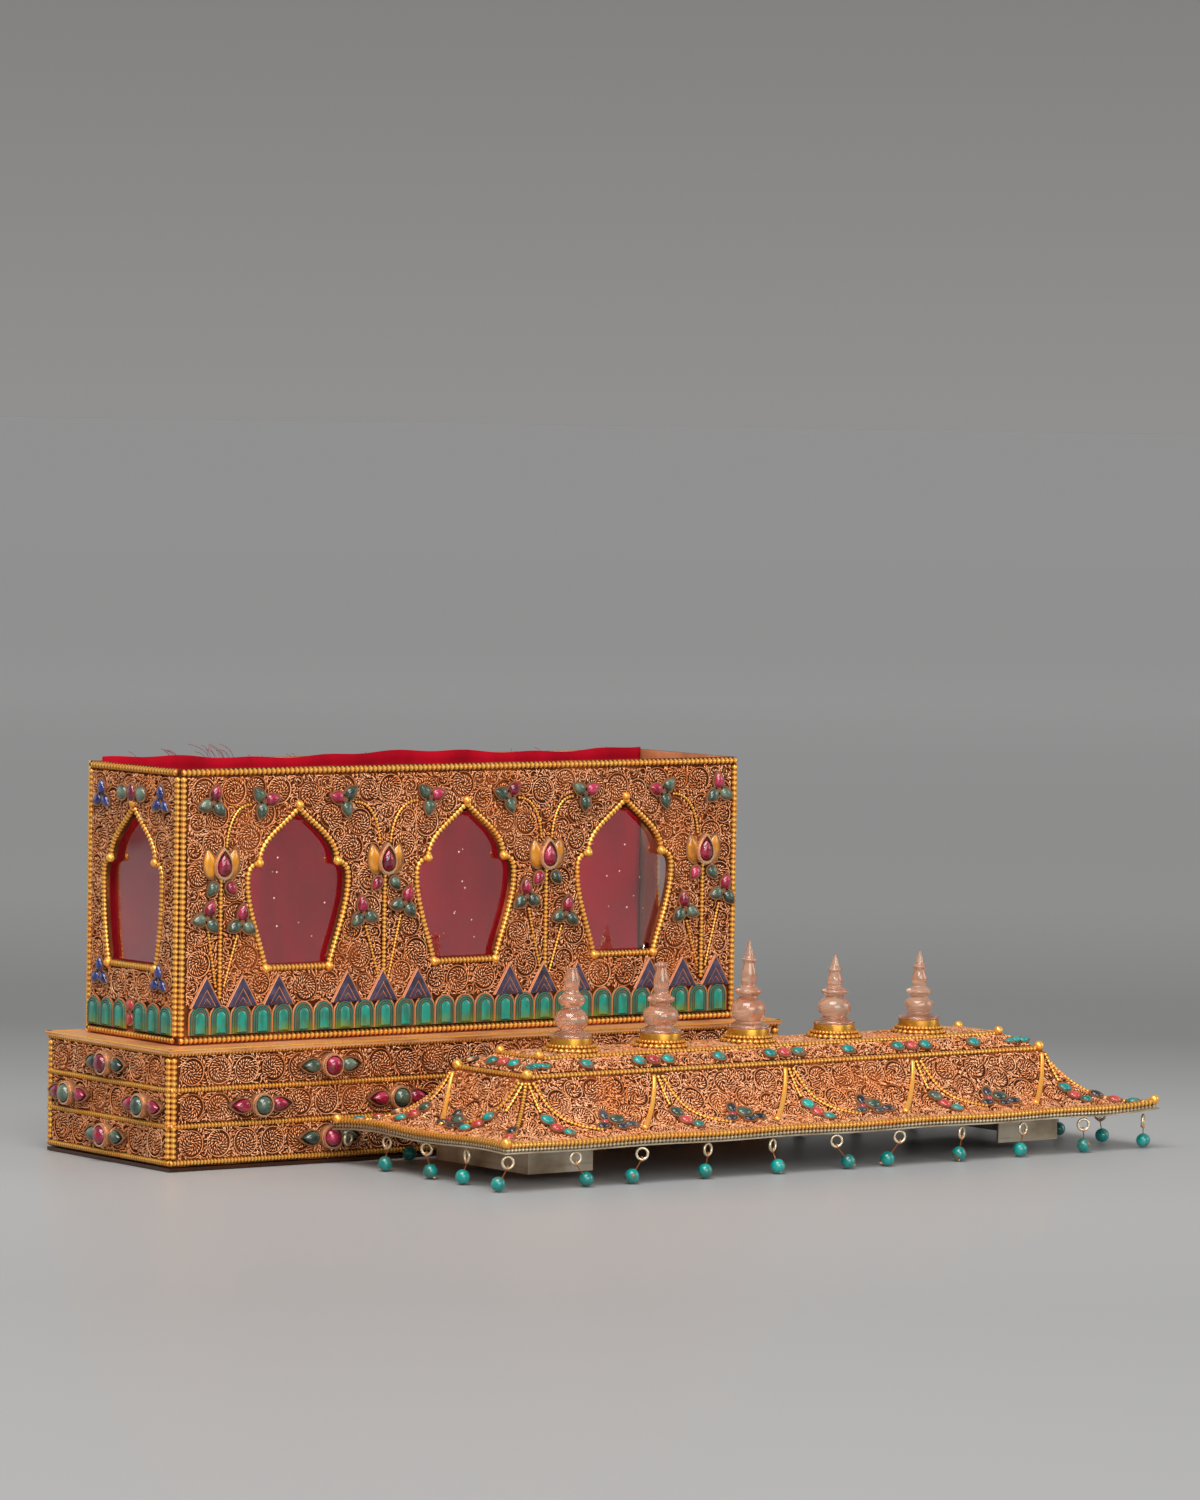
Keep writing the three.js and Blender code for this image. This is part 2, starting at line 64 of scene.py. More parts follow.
# Sheet and wires, in millimetres
SHEET = 1.2
COIL = 1.3  # radius of a border coil
COIL_OUT = 0.35  # from the plate to the coil's middle
COIL_GROOVE = 0.55  # radius between two turns, of a turn's radius
COIL_PITCH, FINE_PITCH, EAVE_PITCH, RIB_PITCH = 1.9, 1.55, 1.6, 1.35
HIDDEN_PITCH = 2.0
PLINTH_COIL, WINDOW_COIL = 1.1, 1.2
UPRIGHT_SHIFT = 0.35  # of a long face's upright coils, from just inside its ends
END_UPRIGHT = 0.1  # of an end wall's upright coils, past its ends
CELL_WIRE = 0.36  # round a tile or a peak
BEZEL_EDGE = 0.55

# Filigree
RIM_WIRE = 0.23  # radius of the smooth wire round a scroll
CURL = 0.26  # radius of a curl in its middle
CURL_SPACING, CROWN_SPACING, HIDDEN_SPACING = 1.0, 1.2, 1.5
CURL_LENGTH = 1.85  # of the spacing
CURL_TIP = 0.15  # height of a curl's ends
# The curl tones paint a highlight along each curl's top ridge and shade on its sides and at its ends
CURL_TONES = (0.1, 1.0, 0.3, 0.3, 1.0, 0.3, 0.3, 0.1)  # from end to end
LEAN = 0.75  # angle of a curl to the scroll's radius
SPIRAL_STEP = 0.68  # from turn to turn, of a curl's length
GRID = 0.5
WALL_DISCS, HIDDEN_DISCS = (5.0, 4.2, 3.4, 2.6, 1.9), (5.6, 4.4, 3.2, 2.4)  # radii of the scrolls
SLOPE_DISCS, TIER_DISCS, CROWN_DISCS = (4.8, 3.8, 2.9, 2.1), (3.3, 2.5, 1.8), (4.0, 3.2, 2.4)
PLINTH_DISC, PLINTH_DISC_PITCH = 4.85, 10.5

# Plinth
PLINTH_HALF = np.array([127.7, 38.85])  # to the faces of its plates
PLINTH_FOOT, PLINTH_TOP = 1.5, 41.0
ROW_PITCH, ROW_WIRE = 12.3, 2.6
PLINTH_GROUPS = (-64.5, 64.5)
FRONT_SPREAD, END_SPREAD = 28.2, 23.7

# Box walls
BOX_Y = 2.8
WALL_FOOT, WALL_HEIGHT = 41.3, 93.5
LONG_HALF, SHORT_HALF = 117.2, 27.55
LONG_FACE, SHORT_FACE = 29.05, 117.2  # outer faces of the plates, from the middle of the box
EDGE_STRIP = 0.6  # down both ends of the back wall

# Windows, from the foot of the wall; shapes are half widths at the sill, the shoulder and the cusp
WINDOW_PITCH = 68.2
LONG_WINDOWS = (-WINDOW_PITCH - 1.4, 0.0, WINDOW_PITCH)
SILL, SHOULDER, CUSP, APEX = 24.8, 55.5, 60.9, 79.7
LONG_SHAPE, END_SHAPE = (12.9, 20.6, 16.0), (15.2, 18.8, 14.4)

# Ornament on the walls; profiles give inset, height and tone
TILES, TILE_PITCH, TILE_GAP = 27, 8.42, 0.55
TILE_FOOT, TILE_HEIGHT = 3.1, 9.6
END_TILES, END_TILE_START = 3, 6.5
TILE_PROFILE = (
    (0.0, 1.2, 0.3), (0.2, 1.7, 0.5), (0.55, 1.75, 0.6), (0.62, 1.4, 0.0),
    (0.92, 1.4, 0.0), (1.0, 1.75, 0.5), (1.35, 1.8, 0.55), (1.42, 1.5, 0.0),
    (1.7, 1.5, 0.0), (1.8, 1.95, 0.8), (2.4, 2.15, 1.0),
)
PEAK_WIDTH, PEAK_HEIGHT, PEAK_FOOT, PEAK_PITCH = 12.8, 11.0, 12.2, 14.6
PEAK_MIDDLES = (-92.0, -34.6, 33.4, 94.0)
PEAK_PROFILE = (
    (0.0, 1.0, 0.0), (0.5, 1.3, 0.0), (0.65, 1.1, 0.6), (0.8, 1.7, 1.0),
    (2.6, 1.8, 1.0), (2.75, 1.35, 0.0), (3.2, 1.35, 0.0), (3.35, 1.75, 1.0),
    (4.5, 1.8, 1.0), (4.65, 1.35, 0.0), (5.0, 1.35, 0.0), (5.15, 1.7, 1.0),
)
LOTUS_Y, STEM_FOOT, UPPER_Y = 61.5, 15.0, 82.0
STEM, TWIG = 0.95, 0.62  # radii

# Lotus plants: the trefoils beside each stem, from the flower's middle, with the angle of their first
# stone, and the upper trefoils that its arched stems reach
LOTUSES = (
    {"x": -101.2, "below": ((-5.8, -18.7, 70), (8.2, -20.5, 85)), "arcs": (1,)},
    {"x": -34.1, "below": ((-9.2, -19.0, 100), (8.0, -15.8, 70)), "arcs": (2, 3)},
    {"x": 34.1, "below": ((-8.8, -15.0, 95), (8.2, -21.5, 80)), "arcs": (4, 5)},
    {"x": 102.3, "below": ((-8.0, -21.5, 100), (8.9, -15.6, 75)), "arcs": (6,)},
)
RED_FIRST, RED_SECOND = ("ruby", "green", "green"), ("green", "ruby", "green")
UPPER = (
    (-105.0, 75, RED_FIRST), (-84.5, 12, RED_FIRST), (-51.5, 45, RED_SECOND), (-16.0, 20, RED_FIRST),
    (17.0, 45, RED_FIRST), (50.0, 28, RED_FIRST), (84.0, 45, RED_SECOND), (108.5, 95, RED_FIRST),
)

# Lid, in its own frame
LID_PLACE, LID_TURN = (77.0, -93.0), math.radians(0.8)
RIM_HALF = np.array([113.0, 21.0])  # lower ridge
CROWN_HALF = np.array([101.7, 12.1])  # upper ridge
SOFFIT_HALF = RIM_HALF + 0.25
RIDGE_WIRE, ROOF_RUN = 1.9, 27.5
EAVE_HALF = RIM_HALF + ROOF_RUN
SLOPE_FOOT, SLOPE_HEAD, SLOPE_POWER = 14.6, 33.6, 2.7
TIER_FOOT, TIER_HEAD, CROWN_PLATE = 34.4, 38.8, 39.4
EAVE_UNDER, EAVE_WAVE = 12.6, 0.45
CORNER_FLARE, CORNER_REACH = 2.0, 26.0
CORNER_LIFT = {(-1, -1): 0.2, (1, -1): 1.6, (1, 1): 0.8, (-1, 1): -1.0}
BAY = RIM_HALF[0] / 2
BAY_SHIFT = -2.3  # of the inner fans
RIB_LIFT = 0.8
PLAIN_RIB = 0.9  # radius of the smooth ribs

# Ribs of a fan: places from its start, as far as the share of the slope from ridge to eave, and radius
BAY_RIBS = (
    (((0, 0.02), (0.3, 0.14), (0.5, 0.27)), 0.7),
    (((1.8, 0.02), (4.6, 0.2), (9.5, 0.38), (21, 0.56)), 0.8),
)
SMOOTH_RIB = (((-1.6, 0.02), (-6, 0.22), (-17, 0.6)), PLAIN_RIB)
LONG_END_RIB = (((0, 0.02), (0.6, 0.14), (1, 0.27)), 0.7)
SHORT_END_RIB = (((0, 0.02), (0.6, 0.14), (2, 0.27)), 0.7)
PETALS = (  # of a flower on a slope: place, length, width and degrees
    (-3.7, 2.9, 4.9, 3.4, 75), (-6.6, -2.4, 5.0, 3.0, 10),
    (4.9, -2.6, 5.4, 3.0, -12), (0.4, -3.8, 4.6, 2.6, 0),
)

# Stupas: heights of the bell, the disc, the spire and the tip, and the bell's radius
STUPA_PITCH, STUPA_SHIFT = 38.1, -2.9
COLLAR_FOOT, COLLAR_ROOM, STUPA_FOOT, BELL_FOOT = 39.7, 10.2, 41.4, 6.0
STUPAS = (
    {"bell": 7.4, "radius": 5.5, "disc": 6.0, "spire": 7.6, "tip": 0.0},
    {"bell": 7.0, "radius": 5.9, "disc": 4.2, "spire": 8.8, "tip": 0.6},
    {"bell": 8.2, "radius": 5.9, "disc": 4.2, "spire": 8.0, "tip": 6.8},
    {"bell": 7.0, "radius": 5.6, "disc": 3.6, "spire": 5.0, "tip": 5.2},
    {"bell": 5.6, "radius": 4.9, "disc": 3.6, "spire": 6.0, "tip": 5.4},
)
STUPA_PLACES = [(k - 2) * STUPA_PITCH + STUPA_SHIFT for k in range(len(STUPAS))]

# Turned profiles: radius and height, or radius and share of the part's height
COLLAR_PROFILE = (
    (9.4, 0.0), (9.4, 0.2), (7.5, 0.3), (7.3, 0.8), (7.25, 2.0),
    (7.2, 5.1), (7.15, 5.3), (6.85, 5.3), (6.75, 5.1), (6.7, 2.0),
)
# The collar tones paint shade on the flange, in its crease, low on the band and down inside it, lighter
# towards the rim
COLLAR_TONES = (0.2, 0.3, 0.1, 0.2, 0.55, 0.75, 0.85, 0.85, 0.3, 0.1)
COLLAR_BEADS = ((9.0, 1.05, 0.96, 28), (7.95, 2.5, 0.66, 38))  # ring radius, height, bead radius, count
FOOT_PROFILE = ((6.3, 0.0), (6.3, 3.1), (7.1, 3.3), (7.35, 3.8), (7.1, 4.5), (5.9, 5.1), (4.8, 5.6))
DISC_PROFILE = (
    (2.9, 0.08), (3.5, 0.18), (4.3, 0.28), (4.65, 0.4), (4.7, 0.54), (4.4, 0.66), (3.5, 0.76), (2.6, 0.92),
)
SPIRE_PROFILE = ((2.35, 0.05), (2.7, 0.25), (2.75, 0.45), (2.45, 0.65), (2.0, 0.85), (1.75, 0.97))
TIP_DISC = ((1.7, 0.0), (2.4, 0.3), (2.55, 0.75), (2.4, 1.2), (1.65, 1.45))
TIP_SHARES = (0.15, 0.4, 0.65, 0.85, 0.97)
BROKEN_TIP = ((1.8, 0.0), (1.3, 0.25), (0.5, 0.1))

# Drops under the eaves
DROP_BEAD, DROP_RING, DROP_WIRE = 2.5, 1.95, 0.5
DROP_INSET, DROP_GAP = 2.0, 0.3
DROP_SHANK, DROP_EYE, DROP_EYE_WIRE, DROP_TAIL = 0.24, 0.75, 0.2, 0.28
LONG_DROPS, SHORT_DROPS = 10, 4
LOST_BEAD = 25
FRONT_LEANS = (-3.1, 4.6, -4.1, -1.0, 2.4, 5.2, -5.2, -1.0, -1.1, 0.4)

# Panes and velvet
PANE_FILM = 0.25  # a clear film on the inner side of its node
PANE_WAVE = 0.05
SPECKS = 9  # on each window
VELVET_SHEET = 0.9
LONG_THREADS, THREADS = 20, 34  # the long ones are at the left end
THREAD = 0.07

# The photograph's camera
CAMERA_PLACE = np.array([-1368.36, -2003.95, 262.60])
CAMERA_YAW, CAMERA_PITCH, CAMERA_ROLL = 0.624534, 0.0509387, 0.0151816
PHOTO_HEIGHT, FOCAL_PIXELS = 1500, 6926.2

LOOKS = {}


# A material: plain shader values first, then patterns that vary over the surface
class Look:
    def __init__(self, name, **values):
        self.material = LOOKS[name] = bpy.data.materials.new(name)
        self.material.use_nodes = True
        self.tree = self.material.node_tree
        self.paint(**values)

    def link(self, socket, value):
        if isinstance(value, bpy.types.NodeSocket):
            self.tree.links.new(value, socket)
        else:
            socket.default_value = value

    def fill_in(self, node, values):
        for name, value in values.items():
            self.link(node.inputs[name.replace("_", " ")], value)
        return node

    def paint(self, **values):
        self.fill_in(self.tree.nodes["Principled BSDF"], values)

    def node(self, kind, **values):
        return self.fill_in(self.tree.nodes.new("ShaderNode" + kind), values)

    def place(self):
        return self.node("TexCoord").outputs["Object"]

    def noise(self, scale, detail=3.0, stretch=(1, 1, 1)):
        place = self.node("Mapping", Vector=self.place(), Scale=stretch).outputs[0]
        return self.node("TexNoise", Vector=place, Scale=scale, Detail=detail).outputs[0]

    def height(self):
        return self.node("SeparateXYZ", Vector=self.place()).outputs[2]

    def tone(self):
        attribute = self.node("Attribute")
        attribute.attribute_name = "tone"
        return attribute.outputs["Fac"]

    def ramp(self, factor, *stops):
        node = self.node("ValToRGB", Fac=factor)
        elements = node.color_ramp.elements
        while len(elements) < len(stops):
            elements.new(0.5)
        for element, (position, colour) in zip(elements, stops):
            element.position = position
            element.color = (*colour, 1.0)
        return node.outputs[0]

    def blend(self, factor, first, second):
        node = self.node("Mix")
        node.data_type = "RGBA"
        for socket, value in zip((0, 6, 7), (factor, first, second)):
            self.link(node.inputs[socket], (*value, 1.0) if isinstance(value, tuple) else value)
        return node.outputs[2]

    def spread(self, factor, low, high, start=0.3, end=0.7):
        values = {"Value": factor, "From Min": start, "From Max": end, "To Min": low, "To Max": high}
        return self.node("MapRange", **values).outputs[0]

    def bump(self, height, strength, distance):
        values = {"Height": height, "Strength": strength, "Distance": distance * MM}
        return self.node("Bump", **values).outputs[0]


def copper_wire():
    look = Look("copper_wire", Metallic=0.4, Specular_IOR_Level=0.25)
    patch = look.noise(55, 4)
    # Both ramps run by the tone, from painted shade at a wire's foot to a painted highlight on its crest;
    # the noise picks rubbed or stained copper
    rubbed_with_painted_light = look.ramp(look.tone(), (0.1, (0.17, 0.042, 0.012)), (0.4, (0.50, 0.18, 0.07)),
                       (0.72, (0.85, 0.42, 0.21)), (1.0, (1.0, 0.82, 0.60)))
    stained_with_painted_light = look.ramp(look.tone(), (0.1, (0.18, 0.04, 0.009)), (0.45, (0.56, 0.165, 0.045)),
                        (0.78, (0.92, 0.37, 0.13)), (1.0, (1.0, 0.66, 0.36)))
    look.paint(Base_Color=look.blend(look.spread(patch, 0.0, 0.9, 0.42, 0.66), rubbed_with_painted_light, stained_with_painted_light),
               Roughness=look.spread(patch, 0.26, 0.5))


def pigment():
    look = Look("pigment", Roughness=0.9, Specular_IOR_Level=0.1)
    look.paint(Base_Color=look.ramp(look.noise(60, 4), (0.3, (0.045, 0.011, 0.004)),
                                    (0.5, (0.10, 0.025, 0.007)), (0.72, (0.32, 0.085, 0.022))))


# Copper sheet, or the inside of a wall, with painted shade darkening it below the rim
def copper_sheet(name, shaded_inside=False):
    look = Look(name, Metallic=0.55)
    patina = look.noise(55, 5)
    brushed = look.noise(260, 3, (0.12, 1, 1))
    base = look.ramp(patina, (0.3, (0.42, 0.14, 0.05)), (0.5, (0.80, 0.37, 0.17)),
                     (0.72, (0.90, 0.50, 0.28)))
    base = look.blend(look.spread(brushed, 0.0, 0.35), base, (0.50, 0.20, 0.07))
    # painted shade: the inside darkens from the rim down towards the foot
    if shaded_inside:
        low, high = ((WALL_FOOT + rise) * MM for rise in (55, 92))
        base = look.blend(look.spread(look.height(), 0.9, 0.0, low, high), base, (0.15, 0.02, 0.014))
    look.paint(Base_Color=base, Roughness=look.spread(patina, 0.6, 0.4), Normal=look.bump(brushed, 0.2, 0.2))


def shaded_worn_gilt(name, crest, worn, groove_shade, metallic):
    look = Look(name, Metallic=metallic)
    wear = look.noise(160, 4)
    bright = look.blend(look.spread(wear, 0.0, 0.8, 0.45, 0.7), crest, worn)
    # low tones take the groove colour: painted shade between coil turns, at bead necks and at bezel feet
    depth = look.spread(look.tone(), 0.0, 1.0, 0.0, 0.85)
    look.paint(Base_Color=look.blend(depth, groove_shade, bright), Roughness=look.spread(wear, 0.2, 0.4),
               Normal=look.bump(look.noise(1800, 2), 0.12, 0.1))


def tinned_sheet():
    look = Look("tinned_sheet", Metallic=0.75)
    stain = look.noise(70, 5)
    scratch = look.noise(240, 3, (0.15, 0.15, 3))
    base = look.ramp(stain, (0.3, (0.26, 0.18, 0.11)), (0.55, (0.50, 0.42, 0.31)),
                     (0.75, (0.62, 0.56, 0.46)))
    look.paint(Base_Color=look.blend(look.spread(scratch, 0.0, 0.5, 0.5, 0.75), base, (0.28, 0.21, 0.14)),
               Roughness=look.spread(stain, 0.55, 0.36), Normal=look.bump(scratch, 0.15, 0.15))


def polished_stone(name, dark, middle, light, scale):
    look = Look(name, Roughness=0.14, Coat_Weight=0.5, Coat_Roughness=0.03)
    look.paint(Base_Color=look.ramp(look.noise(scale, 5), (0.32, dark), (0.5, middle), (0.7, light)),
               Normal=look.bump(look.noise(scale * 3, 3), 0.06, 0.1))


def turquoise():
    look = Look("turquoise", Coat_Weight=0.4, Coat_Roughness=0.06)
    body = look.ramp(look.noise(130, 4), (0.3, (0.0, 0.08, 0.072)), (0.5, (0.0, 0.21, 0.19)),
                     (0.72, (0.008, 0.35, 0.32)))
    matrix = look.noise(330, 6)
    vein = look.ramp(matrix, (0.58, (0, 0, 0)), (0.66, (1, 1, 1)))
    look.paint(Base_Color=look.blend(vein, body, (0.13, 0.07, 0.03)),
               Roughness=look.spread(matrix, 0.18, 0.4))


# Green glaze, worn off in the grooves and mossy in patches near its foot
def tile_glaze():
    look = Look("tile_glaze", Coat_Weight=0.1, Coat_Roughness=0.12)
    tone = look.tone()
    body = look.ramp(tone, (0.0, (0.19, 0.06, 0.02)), (0.25, (0.05, 0.075, 0.045)),
                     (0.6, (0.018, 0.155, 0.11)), (1.0, (0.008, 0.25, 0.19)))
    streak = look.spread(look.noise(430, 4, (1, 1, 0.4)), 0.0, 0.7, 0.45, 0.65)
    body = look.blend(streak, body, (0.022, 0.10, 0.07))
    patch = look.spread(look.noise(190, 3), 0.0, 0.9, 0.4, 0.62)
    low, high = ((WALL_FOOT + TILE_FOOT + rise) * MM for rise in (0.8, 4.2))
    mossy = look.spread(look.height(), patch, 0.0, low, high)
    look.paint(Base_Color=look.blend(mossy, body, (0.15, 0.19, 0.012)),
               Roughness=look.spread(tone, 0.6, 0.2, 0.0, 0.7),
               Normal=look.bump(look.noise(700, 3), 0.15, 0.15))


def peak_stone():
    look = Look("peak_stone", Coat_Weight=0.15, Coat_Roughness=0.2)
    tone = look.tone()
    mottle = look.ramp(look.noise(240, 5), (0.3, (0.016, 0.014, 0.03)), (0.55, (0.042, 0.036, 0.078)),
                       (0.75, (0.09, 0.07, 0.115)))
    look.paint(Base_Color=look.blend(look.spread(tone, 0.0, 1.0, 0.1, 0.6), (0.46, 0.19, 0.10), mottle),
               Roughness=look.spread(tone, 0.6, 0.3, 0.0, 1.0),
               Normal=look.bump(look.noise(600, 4), 0.25, 0.2))


def velvet():
    look = Look("velvet", Roughness=0.95, Specular_IOR_Level=0.1, Sheen_Weight=0.1, Sheen_Roughness=0.3,
                Sheen_Tint=(1.0, 0.02, 0.05, 1.0))
    nap = look.noise(90, 4, (1, 1, 0.4))
    look.paint(Base_Color=look.ramp(nap, (0.3, (0.22, 0.0, 0.006)), (0.7, (0.34, 0.001, 0.011))))


def clear_pane():
    Look("clear_pane", Base_Color=(0.97, 0.95, 0.94, 1.0), Transmission_Weight=1.0, IOR=1.75, Roughness=0.0)


def rock_crystal():
    look = Look("rock_crystal", Transmission_Weight=0.86, IOR=1.36, Roughness=0.24, Coat_Weight=1.0,
                Coat_Roughness=0.03)
    look.paint(Base_Color=look.ramp(look.noise(210, 5), (0.35, (0.96, 0.66, 0.48)),
                                    (0.55, (0.93, 0.53, 0.35)), (0.74, (0.86, 0.33, 0.17))))


def speck():
    look = Look("speck", Roughness=0.7)
    look.paint(Base_Color=look.ramp(look.noise(800), (0.3, (0.8, 0.6, 0.6)), (0.7, (1.0, 0.9, 0.9))))


# Colours at the crest, where worn, and in the groove as painted shade, and how metallic
GILTS = {
    "gilt": ((1.0, 0.54, 0.105), (0.96, 0.37, 0.05), (0.34, 0.085, 0.009), 0.6),
    "old_gilt": ((0.80, 0.40, 0.05), (0.34, 0.15, 0.022), (0.07, 0.022, 0.004), 0.8),
    "bezel": ((0.40, 0.18, 0.085), (0.18, 0.075, 0.035), (0.06, 0.02, 0.009), 0.6),
    "bright_bezel": ((0.72, 0.42, 0.24), (0.50, 0.25, 0.12), (0.20, 0.08, 0.03), 0.7),
    "grey_wire": ((0.62, 0.53, 0.36), (0.42, 0.36, 0.24), (0.16, 0.11, 0.06), 0.8),
    "brass": ((0.72, 0.60, 0.42), (0.48, 0.36, 0.22), (0.40, 0.28, 0.16), 0.8),
}
# Dark, middle and light colours, and the scale of the grain
STONES = {
    "ruby": ((0.07, 0.002, 0.010), (0.25, 0.006, 0.032), (0.44, 0.035, 0.09), 190),
    "green": ((0.012, 0.024, 0.017), (0.042, 0.075, 0.052), (0.13, 0.175, 0.12), 170),
    "lapis": ((0.004, 0.005, 0.04), (0.012, 0.016, 0.12), (0.04, 0.05, 0.22), 300),
    "coral": ((0.24, 0.012, 0.012), (0.42, 0.03, 0.03), (0.54, 0.09, 0.08), 200),
    "amber": ((0.27, 0.085, 0.004), (0.50, 0.19, 0.008), (0.64, 0.28, 0.02), 160),
    "slate": ((0.006, 0.007, 0.009), (0.018, 0.019, 0.025), (0.065, 0.065, 0.075), 200),
}
copper_wire()
pigment()
copper_sheet("copper_sheet")
copper_sheet("inner_sheet", shaded_inside=True)
tinned_sheet()
turquoise()
tile_glaze()
peak_stone()
velvet()
clear_pane()
rock_crystal()
speck()
for name, values in GILTS.items():
    shaded_worn_gilt(name, *values)
for name, values in STONES.items():
    polished_stone(name, *values)


def unit(vectors):
    return vectors / np.linalg.norm(vectors, axis=-1, keepdims=True)


def spun(p, angle, place=(0.0, 0.0)):
    c, s = math.cos(angle), math.sin(angle)
    x = place[0] + c * p[:, 0] - s * p[:, 1]
    y = place[1] + s * p[:, 0] + c * p[:, 1]
    return np.column_stack([x, y, p[:, 2]])


# Surfaces: each takes local points (along, up, out) to the object's frame, in millimetres
def plain(p):
    return p


def lid_surface(p):
    return spun(p, LID_TURN, LID_PLACE)


def crown_surface(x, z):
    return lambda p: lid_surface(p + [x, 0.0, z])


def flat_panel(quarter, distance, middle_y, foot):
    turn = quarter * PI / 2
    along = np.array([math.cos(turn), math.sin(turn), 0.0])
    out = np.array([math.sin(turn), -math.cos(turn), 0.0])
    base = distance * out + np.array([0.0, middle_y, foot])
    return lambda p: base + p @ np.vstack([along, UP, out])


# The eave's corners sweep out and up, and its edge is a little wavy
def bend_eave(p, t):
    half = np.outer(t, [ROOF_RUN, ROOF_RUN]) + RIM_HALF
    gap = np.maximum(half - np.abs(p[:, :2]), 0).sum(1)
    weight = np.maximum(0, 1 - gap / CORNER_REACH) ** 2 * t**2
    lift = np.zeros(len(p))
    for (side_x, side_y), height in CORNER_LIFT.items():
        lift += height * (p[:, 0] * side_x > 0) * (p[:, 1] * side_y > 0)
    wave = EAVE_WAVE * t**2 * (np.sin(p[:, 0] * 0.105 + 0.6) * np.cos(p[:, 1] * 0.09))
    bent = p.copy()
    bent[:, :2] += np.sign(p[:, :2]) * (CORNER_FLARE * weight)[:, None]
    bent[:, 2] += lift * weight + wave
    return bent


# The slope's profile: t runs from the ridge, 0, to the eave, 1, and S is the length from the ridge
SLOPE_T = np.linspace(0, 1, 160)
SLOPE_Z = SLOPE_FOOT + (SLOPE_HEAD - SLOPE_FOOT) * (1 - SLOPE_T) ** SLOPE_POWER
SLOPE_S = np.concatenate([[0], np.cumsum(np.hypot(np.diff(SLOPE_Z), np.diff(SLOPE_T) * ROOF_RUN))])
SLOPE_LENGTH = SLOPE_S[-1]


def slope_up(t):
    return SLOPE_LENGTH - np.interp(t, SLOPE_T, SLOPE_S)


def slope_share(up):
    return np.interp(SLOPE_LENGTH - up, SLOPE_S, SLOPE_T)


def slope_height(t):
    return np.interp(t, SLOPE_T, SLOPE_Z)


# Concave roof slope: up is measured from the eave
def slope_panel(quarter):
    reach = RIM_HALF[1 - quarter % 2]

    def surface(p):
        t = slope_share(p[:, 1])
        fall = (SLOPE_HEAD - SLOPE_FOOT) * SLOPE_POWER * (1 - t) ** (SLOPE_POWER - 1)
        length = np.hypot(ROOF_RUN, fall)
        z = slope_height(t) + p[:, 2] * ROOF_RUN / length
        y = -(reach + ROOF_RUN * t) - p[:, 2] * fall / length
        return lid_surface(bend_eave(spun(np.column_stack([p[:, 0], y, z]), quarter * PI / 2), t))

    return surface


# Run, rise and length of the tier between the two ridges
def tier_size(quarter):
    run = RIM_HALF[1 - quarter % 2] - RIDGE_WIRE - CROWN_HALF[1 - quarter % 2]
    rise = TIER_HEAD - TIER_FOOT
    return run, rise, math.hypot(run, rise)


def tier_panel(quarter):
    run, rise, length = tier_size(quarter)
    foot = RIM_HALF[1 - quarter % 2] - RIDGE_WIRE

    def surface(p):
        y = -foot + p[:, 1] * run / length - p[:, 2] * rise / length
        z = TIER_FOOT + p[:, 1] * rise / length + p[:, 2] * run / length
        return lid_surface(spun(np.column_stack([p[:, 0], y, z]), quarter * PI / 2))

    return surface


